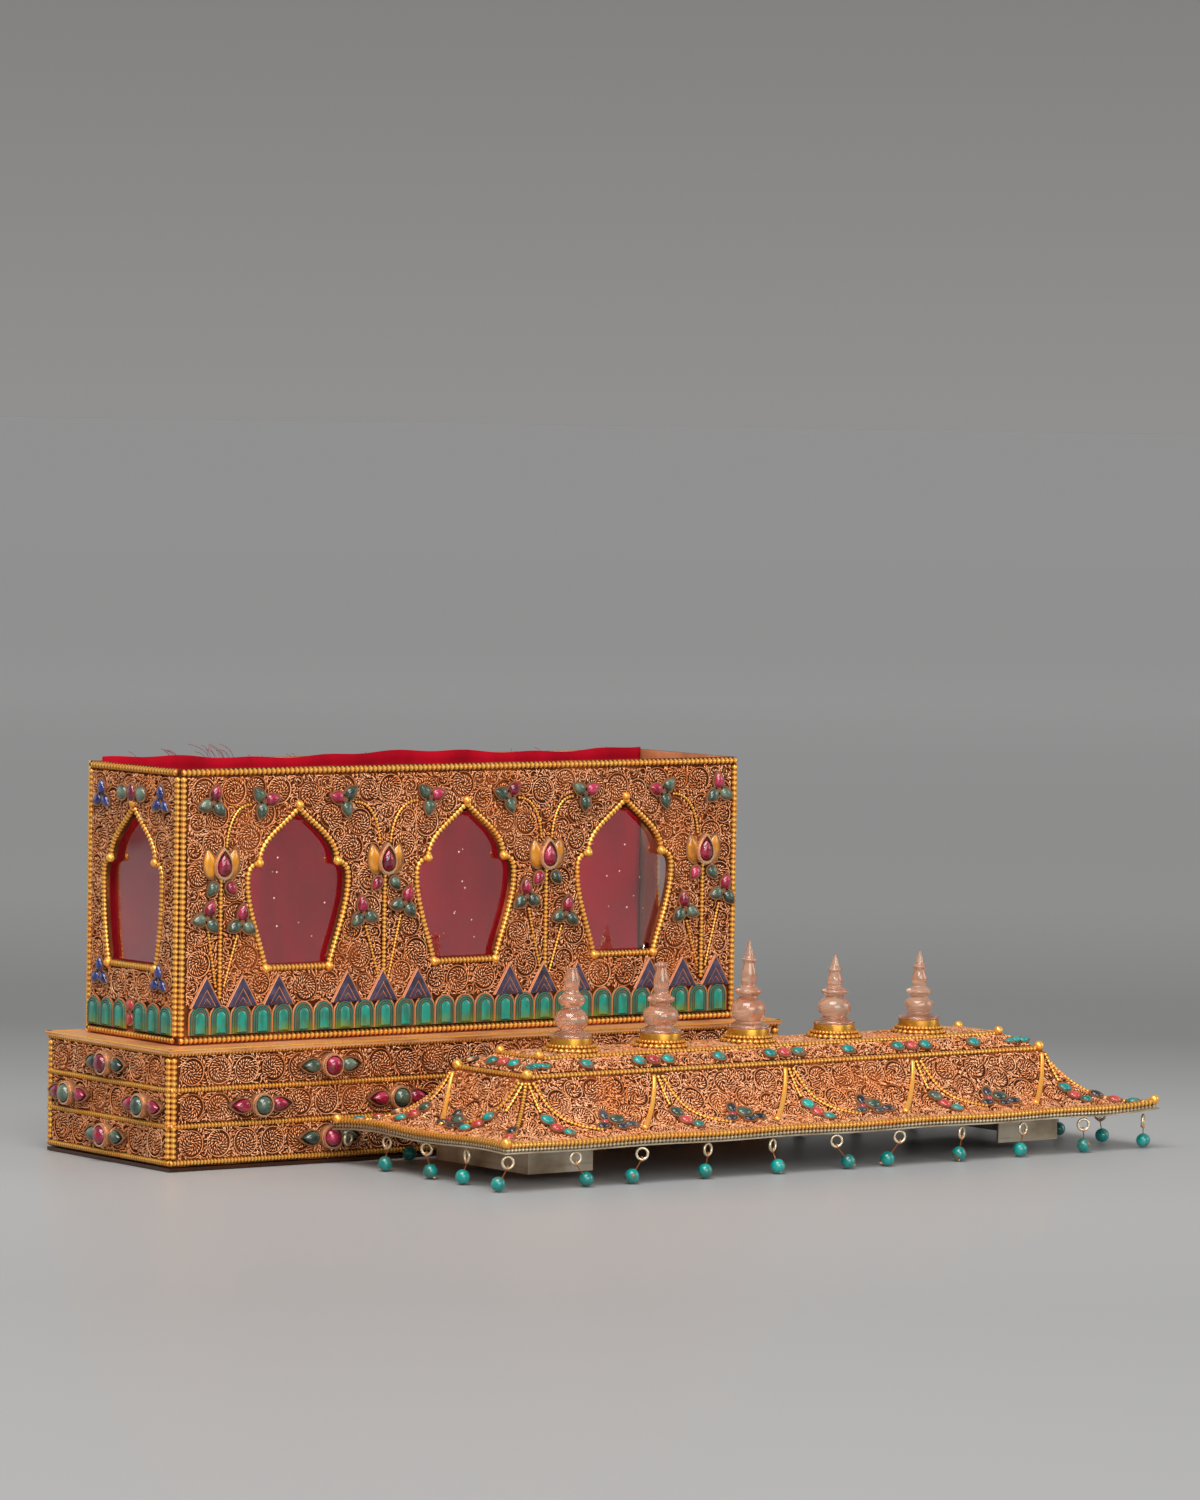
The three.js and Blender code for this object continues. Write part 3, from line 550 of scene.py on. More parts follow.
# Many small shapes, in millimetres, laid on a surface and gathered into one mesh with a tone at each point
class Soup:
    def __init__(self, surface=plain):
        self.looks = []
        self.points, self.tones, self.maps = [], [], []
        self.faces, self.slots, self.smooth = [], [], []
        self.count = 0
        self.turn_to(surface)

    # What follows lies on this surface, and its map is shifted up
    def turn_to(self, surface, shift=0.0):
        self.surface = surface
        self.map_shift = np.array([0.0, shift])

    def add(self, local, faces, look, tone=1.0, smooth=True):
        faces = np.asarray(faces)
        if faces.shape[1] == 3:
            faces = np.column_stack([faces, np.full(len(faces), -1)])
        if look not in self.looks:
            self.looks.append(look)
        self.points.append(self.surface(local))
        self.tones.append(np.broadcast_to(tone, len(local)))
        self.maps.append(local[:, :2] + self.map_shift)
        self.faces.append(np.where(faces < 0, -1, faces + self.count))
        self.slots.append(np.full(len(faces), self.looks.index(look)))
        self.smooth.append(np.full(len(faces), smooth))
        self.count += len(local)

    def piece(self, name, slot, replaced=(), mapped=False, crisp=False):
        mesh = bpy.data.meshes.new(name)
        faces = np.vstack(self.faces)
        used = faces >= 0
        corners = faces[used].astype(np.int32)
        starts = np.concatenate([[0], np.cumsum(used.sum(1))[:-1]]).astype(np.int32)
        mesh.vertices.add(self.count)
        mesh.vertices.foreach_set("co", (np.vstack(self.points) * MM).astype(np.float32).ravel())
        mesh.loops.add(len(corners))
        mesh.loops.foreach_set("vertex_index", corners)
        mesh.polygons.add(len(faces))
        mesh.polygons.foreach_set("loop_start", starts)
        mesh.polygons.foreach_set("material_index", np.concatenate(self.slots).astype(np.int32))
        mesh.polygons.foreach_set("use_smooth", np.concatenate(self.smooth))
        for look in self.looks:
            mesh.materials.append(LOOKS[look])
        tone = mesh.attributes.new("tone", "FLOAT", "POINT")
        tone.data.foreach_set("value", np.concatenate(self.tones).astype(np.float32))
        if mapped:
            flat = np.vstack(self.maps)
            flat = (flat - flat.min(0)) / np.ptp(flat, axis=0).max()
            layer = mesh.uv_layers.new(name="OFBake")
            layer.data.foreach_set("uv", flat[corners].astype(np.float32).ravel())
        mesh.update(calc_edges=True)
        mesh.validate()
        if crisp:
            mesh.set_sharp_from_angle(angle=CRISP)
        obj = bpy.data.objects.new(name, mesh)
        bpy.context.scene.collection.objects.link(obj)
        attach(obj, "root")
        if replaced:
            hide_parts(*replaced)
        return obj


# Basic shapes
def raised(path, z):
    return np.column_stack([np.asarray(path, float), np.full(len(path), z)])


def circle(radius, z, sides):
    angle = np.arange(sides) * 2 * PI / sides
    return np.column_stack([radius * np.cos(angle), radius * np.sin(angle), np.full(sides, z)])


def band_faces(rings, sides, closed=False):
    row = np.arange(rings if closed else rings - 1)[:, None] * sides
    upper = (row + sides) % (rings * sides)
    side = np.arange(sides)
    following = (side + 1) % sides
    return np.stack([row + side, row + following, upper + following, upper + side]).reshape(4, -1).T


# Bands closed by fans round two more points, the middles of the first and the last ring
def capped_faces(rings, sides):
    side = np.arange(sides)
    following = (side + 1) % sides
    last, foot = (rings - 1) * sides, rings * sides
    faces = [band_faces(rings, sides)]
    for middle, a, b in ((foot, following, side), (foot + 1, last + side, last + following)):
        faces.append(np.column_stack([np.full(sides, middle), a, b, np.full(sides, -1)]))
    return np.vstack(faces)


# Rings of equal point counts, stacked and closed at both ends
def stack(soup, rings, look, tones=1.0, apex=0.0, smooth=True):
    count, sides = len(rings), len(rings[0])
    local = np.vstack([*rings, rings[0].mean(0), rings[-1].mean(0) + [0, 0, apex]])
    tones = np.broadcast_to(tones, count)
    tone = np.append(np.repeat(tones, sides), tones[[0, -1]])
    soup.add(local, capped_faces(count, sides), look, tone, smooth)


# A wire of round or few-sided section along a path
def tube(soup, path, radii, look, sides=6, twist=0.0, tones=1.0, closed=False, smooth=True, normal=UP):
    path = np.asarray(path, float)
    count = len(path)
    along = unit(np.roll(path, -1, 0) - np.roll(path, 1, 0) if closed else np.gradient(path, axis=0))
    across = unit(np.cross(normal, along))
    over = np.cross(along, across)
    angle = np.arange(sides) * 2 * PI / sides + np.arange(count)[:, None] * twist
    radii = np.broadcast_to(radii, count)[:, None, None]
    rings = np.cos(angle)[..., None] * across[:, None] + np.sin(angle)[..., None] * over[:, None]
    local = (path[:, None] + radii * rings).reshape(-1, 3)
    tone = np.repeat(np.broadcast_to(tones, count), sides)
    if closed:
        soup.add(local, band_faces(count, sides, closed), look, tone, smooth)
    else:
        local = np.vstack([local, path[[0, -1]]])
        soup.add(local, capped_faces(count, sides), look, np.append(tone, tone[[0, -1]]), smooth)


def resample(path, step, closed=False, even=False):
    path = np.asarray(path, float)
    if closed:
        path = np.vstack([path, path[:1]])
    run = np.concatenate([[0], np.cumsum(np.linalg.norm(np.diff(path, axis=0), axis=1))])
    count = max(2, round(run[-1] / step))
    if even:
        count += count % 2
    at = np.linspace(0, run[-1], count + 1)
    if closed:
        at = at[:-1]
    return np.column_stack([np.interp(at, run, path[:, k]) for k in range(path.shape[1])])


# A coil of wire: its turns show as a row of beads, with painted shade in the grooves between them
def coil(soup, path, radius=COIL, pitch=COIL_PITCH, look="gilt", closed=False):
    points = resample(path, pitch / 2, closed, even=True)
    crest = np.arange(len(points)) % 2
    tube(soup, points, radius * np.where(crest, 1.0, COIL_GROOVE), look, tones=crest, closed=closed)


def pitch_on(quarter, pitch=COIL_PITCH):
    return pitch if quarter in SHOWN else HIDDEN_PITCH


def ball(soup, centre, radius, look="gilt", sides=12, rows=7):
    angles = np.linspace(-PI / 2, PI / 2, rows + 2)[1:-1]
    rings = [circle(radius * math.cos(a), radius * math.sin(a), sides) + centre for a in angles]
    stack(soup, rings, look, tones=0.65)


def slab(soup, low, high, look):
    (x0, y0, z0), (x1, y1, z1) = low, high
    outline = [(x0, y0), (x1, y0), (x1, y1), (x0, y1)]
    stack(soup, [raised(outline, z0), raised(outline, z1)], look, smooth=False)


# Set stones
STONE_SIDES = 14
TAPER = {"drop": 0.7, "petal": 0.5, "oval": 0.0}
DOME = ((1.0, 0.0), (1.0, 0.45), (0.93, 0.68), (0.74, 0.88), (0.42, 0.98))  # width and height


def stone_outline(kind, length, width, angle):
    turn = np.arange(STONE_SIDES) * 2 * PI / STONE_SIDES
    narrow = np.sin(turn / 2) ** TAPER[kind]
    c, s = math.cos(angle), math.sin(angle)
    flat = np.column_stack([length / 2 * np.cos(turn), width / 2 * np.sin(turn) * narrow])
    return flat @ np.array([[c, s], [-s, c]])


# The metal cup that a stone sits in
def setting(soup, x, y, length, width, height, angle=0.0, kind="oval", look="bezel"):
    outline = stone_outline(kind, length, width, angle)
    inner = 1 - 2 * BEZEL_EDGE / min(length, width)
    # the third figure is the tone: painted shade at the cup's foot and down inside it, lighter on its rim
    walls = ((1.0, 0.0, 0.2), (1.0, 0.6, 0.5), (1.0, 1.0, 1.0), (inner, 1.0, 0.9), (inner, 0.6, 0.1))
    rings = [raised(outline * wide + [x, y], z * height) for wide, z, _ in walls]
    stack(soup, rings, look, [tone for _, _, tone in walls])


# A domed stone; a drop points along its angle
def stone(soup, x, y, look, length, width, height, angle=0.0, kind="oval", bezel="bezel"):
    outline = stone_outline(kind, length, width, angle)
    stack(soup, [raised(outline * wide + [x, y], z * height) for wide, z in DOME], look, apex=height * 0.02)
    if bezel:
        edge = 2 * BEZEL_EDGE
        setting(soup, x, y, length + edge, width + edge, height * 0.62, angle, kind, bezel)


# Three drops round a point: looks are given anticlockwise from the first angle
def trefoil(soup, x, y, looks, first=90.0, size=1.0):
    reach, length, width, height = (3.5 * size, 5.7 * size, 5.2 * size, 3.2 * size)
    for k, look in enumerate(looks):
        angle = math.radians(first + 120 * k)
        place = (x + reach * math.cos(angle), y + reach * math.sin(angle))
        stone(soup, *place, look, length, width, height, angle, "drop")


# Nested rings of one outline, with ribs and grooves
def ribbed(soup, outline_at, profile, look):
    edge, _, tone = profile[0]
    rows = ((edge, 0.0, tone), *profile)
    stack(soup, [raised(outline_at(inset), z) for inset, z, _ in rows], look, [tone for _, _, tone in rows])


def arch_outline(x, foot, half, height):
    def outline_at(inset):
        h = half - inset
        spring = foot + height - half
        angle = np.linspace(0, PI, 9)
        low = foot + inset * 0.3
        head = np.column_stack([x + h * np.cos(angle), spring + h * np.sin(angle)])
        return np.vstack([[x + h, low], head, [x - h, low]])

    return outline_at


def peak_outline(x, half, height):
    def outline_at(inset):
        low = PEAK_FOOT + inset * 0.25
        top = PEAK_FOOT + height - inset * 1.6
        h, middle = half * (1 - inset / half), (low + top) / 2
        shape = ((1, low), (0.5, middle), (0, top), (-0.5, middle), (-1, low), (0, low))
        return np.array([(x + h * share, y) for share, y in shape])

    return outline_at


def tile(soup, x):
    half = TILE_PITCH / 2 - TILE_GAP
    ribbed(soup, arch_outline(x, TILE_FOOT, half, TILE_HEIGHT), TILE_PROFILE, "tile_glaze")
    cell = arch_outline(x, TILE_FOOT, half + 0.3, TILE_HEIGHT + 0.3)(0)
    tube(soup, raised(cell, 0.9), CELL_WIRE, "copper_wire", 5, tones=0.4)


def peak(soup, x):
    half = PEAK_WIDTH / 2
    ribbed(soup, peak_outline(x, half, PEAK_HEIGHT), PEAK_PROFILE, "peak_stone")
    path = [(x - half, PEAK_FOOT), (x, PEAK_FOOT + PEAK_HEIGHT), (x + half, PEAK_FOOT)]
    tube(soup, resample(raised(path, 0.8), 2.5), CELL_WIRE, "copper_wire", 5, tones=0.38)


def distance_to_path(x, y, path, closed=False):
    path = np.asarray(path, float)[:, :2]
    ends = np.roll(path, -1, 0) if closed else path[1:]
    starts = path if closed else path[:-1]
    best = np.full(x.shape, 1e9)
    for (ax, ay), (bx, by) in zip(starts, ends):
        dx, dy = bx - ax, by - ay
        share = np.clip(((x - ax) * dx + (y - ay) * dy) / max(dx * dx + dy * dy, 1e-9), 0, 1)
        best = np.minimum(best, np.hypot(x - ax - share * dx, y - ay - share * dy))
    return best


def inside(x, y, outline):
    result = np.zeros(x.shape, bool)
    for (ax, ay), (bx, by) in zip(outline, np.roll(outline, -1, 0)):
        crosses = (ay > y) != (by > y)
        result ^= crosses & (x < (bx - ax) * (y - ay) / (by - ay + 1e-12) + ax)
    return result


# Room for filigree: a grid of points, each with its distance from what is taken, and the scrolls set there
class Room:
    def __init__(self, low, high):
        x, y = np.meshgrid(np.arange(low[0], high[0], GRID), np.arange(low[1], high[1], GRID))
        self.x, self.y = x.ravel(), y.ravel()
        self.free = np.full(x.size, np.inf)
        self.discs = []

    def limit(self, *distances):
        self.free = np.minimum.reduce([self.free, *distances])

    def keep_off(self, path, width):
        self.limit(distance_to_path(self.x, self.y, path) - width)

    def keep_out(self, outline):
        clear = distance_to_path(self.x, self.y, outline, closed=True)
        self.limit(np.where(inside(self.x, self.y, outline), -clear, clear))

    def take(self, x, y, radius):
        self.discs.append((x, y, radius))
        self.limit(np.hypot(self.x - x, self.y - y) - radius)

    # Scrolls of falling size, each touching what is there where it can
    def pack(self, sizes):
        for size in sizes:
            while True:
                radius = size * random.uniform(0.92, 1.0)
                spots = np.flatnonzero((self.free >= radius) & (self.free < radius + GRID))
                if not len(spots):
                    spots = np.flatnonzero(self.free >= radius)
                if not len(spots):
                    break
                k = random.choice(spots)
                self.take(self.x[k], self.y[k], radius)


# Curls of a scroll: short bowed strokes along a spiral, leaning as a pinwheel's arms do
def disc_curls(discs, spacing):
    places, angles, bows = [], [], []
    step = SPIRAL_STEP * CURL_LENGTH * spacing
    for x, y, radius in discs:
        hand = random.choice([-1, 1])
        turn = random.uniform(0, 2 * PI)
        reach = radius - RIM_WIRE - 0.45 * step
        while reach > 0.25 * spacing:
            places.append((x + reach * math.cos(turn), y + reach * math.sin(turn)))
            angles.append(turn + hand * LEAN)
            bows.append(-hand)
            turn += hand * spacing / reach
            reach -= step * spacing / (2 * PI * reach)
    return np.array(places), np.array(angles), np.array(bows)


# Curls in the gaps between scrolls, set like spokes of the nearest one
def gap_curls(room, spacing):
    spots = random.permutation(np.flatnonzero(room.free > 0.25 * spacing))
    cells = np.floor(room.x[spots] / spacing) * 1e4 + np.floor(room.y[spots] / spacing)
    spots = spots[np.unique(cells, return_index=True)[1]]
    x, y = room.x[spots], room.y[spots]
    discs = np.array(room.discs)
    gaps = np.hypot(x[:, None] - discs[:, 0], y[:, None] - discs[:, 1]) - discs[:, 2]
    near = discs[gaps.argmin(1)]
    angles = np.arctan2(y - near[:, 1], x - near[:, 0]) + 0.8
    turned = random.normal(0, 0.35, len(spots))
    return np.column_stack([x, y]), angles + turned, np.where(turned > 0, 1, -1)


# A curl is a short bowed wire with pointed ends and three sides, of which the underside is left off
CURL_SIDES = ((0, 1), (2, 0))
CURL_FACES = np.array([
    *((0, 1 + k, 1 + j, -1) for j, k in CURL_SIDES),
    *((1 + j, 1 + k, 4 + k, 4 + j) for j, k in CURL_SIDES),
    *((7, 4 + j, 4 + k, -1) for j, k in CURL_SIDES),
])


def curls(soup, places, angles, bows, length):
    count = len(places)
    along = np.column_stack([np.cos(angles), np.sin(angles), np.zeros(count)])
    across = np.column_stack([-along[:, 1], along[:, 0], np.zeros(count)])
    bow = bows[:, None] * across
    length = length * random.uniform(0.85, 1.15, (count, 1))
    middle = np.column_stack([places, random.uniform(0.55, 0.95, count)])
    points = np.empty((count, 8, 3))
    for tip, side in ((0, -0.5), (7, 0.5)):
        points[:, tip] = middle + length * (side * along - 0.2 * bow)
        points[:, tip, 2] = CURL_TIP
    for ring, side in ((1, -0.2), (4, 0.2)):
        for j in range(3):
            angle = PI / 2 + j * 2 * PI / 3
            offset = CURL * (math.cos(angle) * across + math.sin(angle) * UP)
            points[:, ring + j] = middle + length * (side * along + 0.1 * bow) + offset
    faces = np.where(CURL_FACES < 0, -1, CURL_FACES + 8 * np.arange(count)[:, None, None]).reshape(-1, 4)
    # painted highlight on the top ridge, painted shade on the sides and at the ends
    tone = random.uniform(0.6, 1.05, (count, 1)) * CURL_TONES
    soup.add(points.reshape(-1, 3), faces, "copper_wire", tone.ravel())


# The smooth wire round a scroll
def scroll_rims(soup, discs):
    for x, y, radius in discs:
        ring = circle(radius - RIM_WIRE, random.uniform(0.5, 0.8), max(12, round(radius * 5))) + [x, y, 0]
        tube(soup, ring, RIM_WIRE, "copper_wire", 3, tones=random.uniform(0.3, 0.75), closed=True)


def fill(soup, room, spacing):
    scroll_rims(soup, room.discs)
    curls(soup, *disc_curls(room.discs, spacing), CURL_LENGTH * spacing)
    curls(soup, *gap_curls(room, spacing), CURL_LENGTH * spacing)


def spacing_on(quarter):
    return CURL_SPACING if quarter in SHOWN else HIDDEN_SPACING


# Walls
def bezier(*points):
    t = np.linspace(0, 1, 11)[:, None]
    a, b, c, d = (np.asarray(p, float) for p in points)
    return (1 - t) ** 3 * a + 3 * (1 - t) ** 2 * t * b + 3 * (1 - t) * t**2 * c + t**3 * d


# The window outline, anticlockwise from the right end of the sill
def window_outline(x, shape, offset=0.0):
    sill, wide, cusp = shape
    lower = bezier((sill, SILL), (sill + 2.6, SILL + 10), (wide + 0.3, SHOULDER - 10), (wide, SHOULDER))
    shoulder = bezier(lower[-1], (wide - 0.2, CUSP - 2), (cusp + 3.5, CUSP - 0.5), (cusp, CUSP))
    head = bezier(shoulder[-1], (cusp + 0.2, CUSP + 8.0), (cusp - 10, APEX - 6.2), (0, APEX))
    right = np.vstack([lower, shoulder[1:], head[1:]])
    outline = np.vstack([right, right[-2::-1] * [-1, 1]])
    along = unit(np.roll(outline, -1, 0) - np.roll(outline, 1, 0))
    return outline + offset * np.column_stack([along[:, 1], -along[:, 0]]) + [x, 0]


# A wall plate with window openings
def wall_plate(soup, half, windows, shape):
    loops = [np.array([[-half, 0], [half, 0], [half, WALL_HEIGHT], [-half, WALL_HEIGHT]], float)]
    loops += [window_outline(x, shape, -COIL) for x in windows]
    flat = np.vstack(loops)
    triangles = np.array(tessellate_polygon([[(*p, 0.0) for p in loop] for loop in loops]))
    a, b, c = (flat[triangles[:, k]] for k in range(3))
    turned = (b - a)[:, 0] * (c - a)[:, 1] - (b - a)[:, 1] * (c - a)[:, 0] < 0
    triangles[turned] = triangles[turned][:, ::-1]
    soup.add(raised(flat, 0.0), triangles, "pigment", smooth=False)
    soup.add(raised(flat, -SHEET), triangles[:, ::-1], "inner_sheet", smooth=False)
    for number, loop in enumerate(loops):
        edge = loop if number == 0 else loop[::-1]
        both = np.vstack([raised(edge, -SHEET), raised(edge, 0.0)])
        soup.add(both, band_faces(2, len(edge)), "pigment", smooth=False)


# The upright coils of neighbouring walls meet at the corner
def upright(half):
    return half + END_UPRIGHT if half == SHORT_HALF else half - COIL + UPRIGHT_SHIFT


def wall_coils(soup, quarter, half, windows, shape):
    side, foot, head = upright(half), COIL, WALL_HEIGHT - COIL
    lines = [[(-half, y), (half, y)] for y in (foot, head)]
    lines += [[(x, foot + COIL), (x, head - COIL)] for x in (-side, side)]
    for line in lines:
        coil(soup, raised(line, COIL_OUT), pitch=pitch_on(quarter))
    sill, _, cusp = shape
    for x in windows:
        outline = raised(window_outline(x, shape), COIL_OUT)
        coil(soup, outline, WINDOW_COIL, pitch_on(quarter, FINE_PITCH), closed=True)
        for dx, y in ((0, APEX + 0.8), (cusp, CUSP), (-cusp, CUSP), (sill, SILL), (-sill, SILL)):
            ball(soup, (x + dx, y, 0.7), 1.6)


def wall_room(half, windows, shape, foot, lines, peaks):
    room = Room((-half, foot), (half, WALL_HEIGHT))
    side = upright(half) - COIL
    room.limit(room.x + side, side - room.x, room.y - foot, WALL_HEIGHT - 2 * COIL - room.y)
    for x in windows:
        room.keep_out(window_outline(x, shape, COIL * 0.9))
    for path, width in lines:
        room.keep_off(path, width)
    for x in peaks:
        room.keep_out(peak_outline(x, PEAK_WIDTH / 2 + 0.4, PEAK_HEIGHT + 0.4)(0))
    return room


# Paths and radii of a lotus plant's stems: upright, to the trefoils below and to those above
def lotus_lines(lotus):
    x = lotus["x"]
    lines = [([(x, STEM_FOOT), (x, LOTUS_Y - 4)], STEM)]
    for dx, dy, _ in lotus["below"]:
        foot = (x + math.copysign(1.6, dx), STEM_FOOT + 4)
        lines.append(([(x + dx * 0.85, LOTUS_Y + dy - 4), foot], TWIG))
    for number in lotus["arcs"]:
        end = UPPER[number][0]
        side = math.copysign(1.0, end - x)
        reach = end - side * 4.5
        rise = ((x + side * 2.2, LOTUS_Y + 5), (x + side * 2.6, LOTUS_Y + 13))
        lines.append((bezier(*rise, ((x + reach) / 2, UPPER_Y - 0.5), (reach, UPPER_Y - 1)), TWIG))
    return lines


def lotus_flower(soup, lotus, below):
    x, y = lotus["x"], LOTUS_Y - 0.3
    for side in (-1, 1):
        stone(soup, x + side * 4.6, y, "amber", 10.2, 6.2, 2.0, PI / 2 - side * 0.2, "petal")
    for height, edge in ((3.0, 0.0), (3.4, 0.9)):
        setting(soup, x, y, 11.4 - edge, 9.4 - edge, height, PI / 2, "drop", "bright_bezel")
    stone(soup, x, LOTUS_Y - 0.7, "ruby", 7.8, 6.6, 4.4, PI / 2, "drop", None)
    for side, look in zip((-1, 1), below):
        stone(soup, x + side * 3.9, LOTUS_Y - 8.9, look, 5.4, 4.8, 3.0, -PI / 2 + side * 0.7, "drop")
    for dx, dy, first in lotus["below"]:
        trefoil(soup, x + dx, LOTUS_Y + dy, RED_FIRST, first)


def front_ornament(stones, coils):
    lines = [line for lotus in LOTUSES for line in lotus_lines(lotus)]
    for path, radius in lines:
        coil(coils, raised(path, 0.75), radius, 1.5 if radius == STEM else 1.2)
    for number, lotus in enumerate(LOTUSES):
        lotus_flower(stones, lotus, ("green", "ruby") if number == 0 else ("ruby", "green"))
    for x, first, looks in UPPER:
        trefoil(stones, x, UPPER_Y, looks, first)
    peaks = [middle + k * PEAK_PITCH for middle in PEAK_MIDDLES for k in (-1, 0, 1)]
    for x in peaks:
        peak(stones, x)
    for k in range(TILES):
        tile(stones, (k - (TILES - 1) / 2) * TILE_PITCH)
    return lines, peaks


def end_ornament(stones):
    for x in (-19.0, 19.0):
        for y in (UPPER_Y, 21.0):
            trefoil(stones, x, y, ("lapis", "lapis", "lapis"), size=0.9)
    for x, look, length, width in ((-6.0, "green", 6, 5), (0.0, "ruby", 4.2, 6.4), (6.0, "green", 6, 5)):
        stone(stones, x, 84.0, look, length, width, 2.8)
    for y in (6.6, 11.4):
        stone(stones, 0.0, y, "coral", 4.2, 3.8, 1.9)
    for side in (-1, 1):
        for k in range(END_TILES):
            tile(stones, side * (END_TILE_START + k * TILE_PITCH))


def dress_wall(quarter):
    half, face, *plan = LONG_HALF, LONG_FACE, LONG_WINDOWS, LONG_SHAPE
    if quarter % 2:
        half, face, *plan = SHORT_HALF, SHORT_FACE, (0.0,), END_SHAPE
    surface = flat_panel(quarter, face, BOX_Y, WALL_FOOT)
    plate, filigree, coils, stones = (Soup(surface) for _ in range(4))
    wall_plate(plate, half, *plan)
    wall_coils(coils, quarter, half, *plan)
    lines, peaks, foot = (), (), TILE_FOOT + TILE_HEIGHT
    if quarter == 0:
        lines, peaks = front_ornament(stones, coils)
    elif quarter == 2:
        foot = 2 * COIL
        for x in (-LONG_HALF, LONG_HALF - EDGE_STRIP):
            slab(coils, (x, 0, -SHEET), (x + EDGE_STRIP, WALL_HEIGHT, 1.2), "gilt")
    else:
        end_ornament(stones)
    room = wall_room(half, *plan, foot, lines, peaks)
    room.pack(WALL_DISCS if quarter in SHOWN else HIDDEN_DISCS)
    fill(filigree, room, spacing_on(quarter))
    name = f"wall_{SIDES[quarter]}"
    plate.piece(f"{name}_plate", "copper_filigree", [name])
    filigree.piece(f"{name}_filigree", "copper_filigree", mapped=True)
    coils.piece(f"{name}_coils", "gilded_wire", mapped=True)
    if stones.count:
        stones.piece(f"{name}_stones", "set_stones", crisp=True)


# Plinth
def stone_trio(soup, x, y, centre, wings):
    for side, turn in ((-1, PI), (1, 0.0)):
        setting(soup, x + side * 8.4, y, 9.6, 7.0, 2.4, turn, "drop")
        stone(soup, x + side * 7.7, y, wings, 6.6, 5.6, 3.9, turn, "drop", None)
    for height, width in ((3.4, 8.4), (4.2, 8.0)):
        setting(soup, x, y, width, width, height, look="bright_bezel")
    stone(soup, x, y, centre, 6.6, 6.6, 6.0, bezel=None)


def stone_group(soup, x, spread):
    low, middle, high = (ROW_WIRE / 2 + (row + 0.5) * ROW_PITCH for row in range(3))
    for y in (low, high):
        stone_trio(soup, x, y, "ruby", "green")
    for side in (-1, 1):
        stone_trio(soup, x + side * spread, middle, "green", "ruby")


def fill_row(soup, half, row, spacing):
    low = row * ROW_PITCH + ROW_WIRE - 0.3
    high = (row + 1) * ROW_PITCH + 0.3
    reach = half - ROW_WIRE
    room = Room((-reach, low), (reach, high))
    room.limit(room.x + reach, reach - room.x, room.y - low, high - room.y)
    count = int(2 * reach // PLINTH_DISC_PITCH)
    for k in range(count):
        room.take((k - (count - 1) / 2) * (2 * reach / count), (low + high) / 2, PLINTH_DISC)
    fill(soup, room, spacing)


def dress_plinth():
    plates, filigree, coils, stones = (Soup() for _ in range(4))
    outer = CORNERS * PLINTH_HALF
    inner, ledge = outer - CORNERS * SHEET, outer + CORNERS * COIL
    under = PLINTH_TOP - SHEET
    walls = ((inner, under), (inner, PLINTH_FOOT), (outer, PLINTH_FOOT), (outer, under))
    stack(plates, [raised(*ring) for ring in walls], "pigment", smooth=False)
    stack(plates, [raised(ledge, under), raised(ledge, PLINTH_TOP)], "copper_sheet", smooth=False)
    height = PLINTH_TOP - PLINTH_FOOT
    for quarter in range(4):
        half, distance = PLINTH_HALF[::-1] if quarter % 2 else PLINTH_HALF
        for soup in (filigree, coils, stones):
            soup.turn_to(flat_panel(quarter, distance, 0.0, PLINTH_FOOT), quarter * 50.0)
        for row in range(4):
            y = row * ROW_PITCH + ROW_WIRE / 2
            line = raised([(-half - 0.6, y), (half + 0.6, y)], COIL_OUT)
            coil(coils, line, PLINTH_COIL, pitch_on(quarter, RIB_PITCH))
        for x in (-half + COIL - UPRIGHT_SHIFT, half - COIL + UPRIGHT_SHIFT):
            coil(coils, raised([(x, ROW_WIRE), (x, height - ROW_WIRE)], COIL_OUT), pitch=pitch_on(quarter))
        slab(coils, (-half - COIL, height - 0.2, -0.6), (half + COIL, height + 0.2, 1.5), "gilt")
        for row in range(3):
            fill_row(filigree, half, row, spacing_on(quarter))
        if quarter == 0:
            for x in PLINTH_GROUPS:
                stone_group(stones, x, FRONT_SPREAD)
        elif quarter != 2:
            stone_group(stones, 0.0, END_SPREAD)
    plates.piece("plinth_plates", "copper_filigree", ["plinth_shell"])
    filigree.piece("plinth_filigree", "copper_filigree", mapped=True)
    coils.piece("plinth_coils", "gilded_wire", mapped=True)
    stones.piece("plinth_stones", "set_stones", crisp=True)


# Lid
def roof_ring(half, z, t=0.0):
    corners = CORNERS * half
    points = []
    for k, steps in enumerate((56, 22, 56, 22)):
        share = np.linspace(0, 1, steps, endpoint=False)[:, None]
        points.append(corners[k] * (1 - share) + corners[(k + 1) % 4] * share)
    flat = raised(np.vstack(points), z)
    return bend_eave(flat, np.full(len(flat), t))


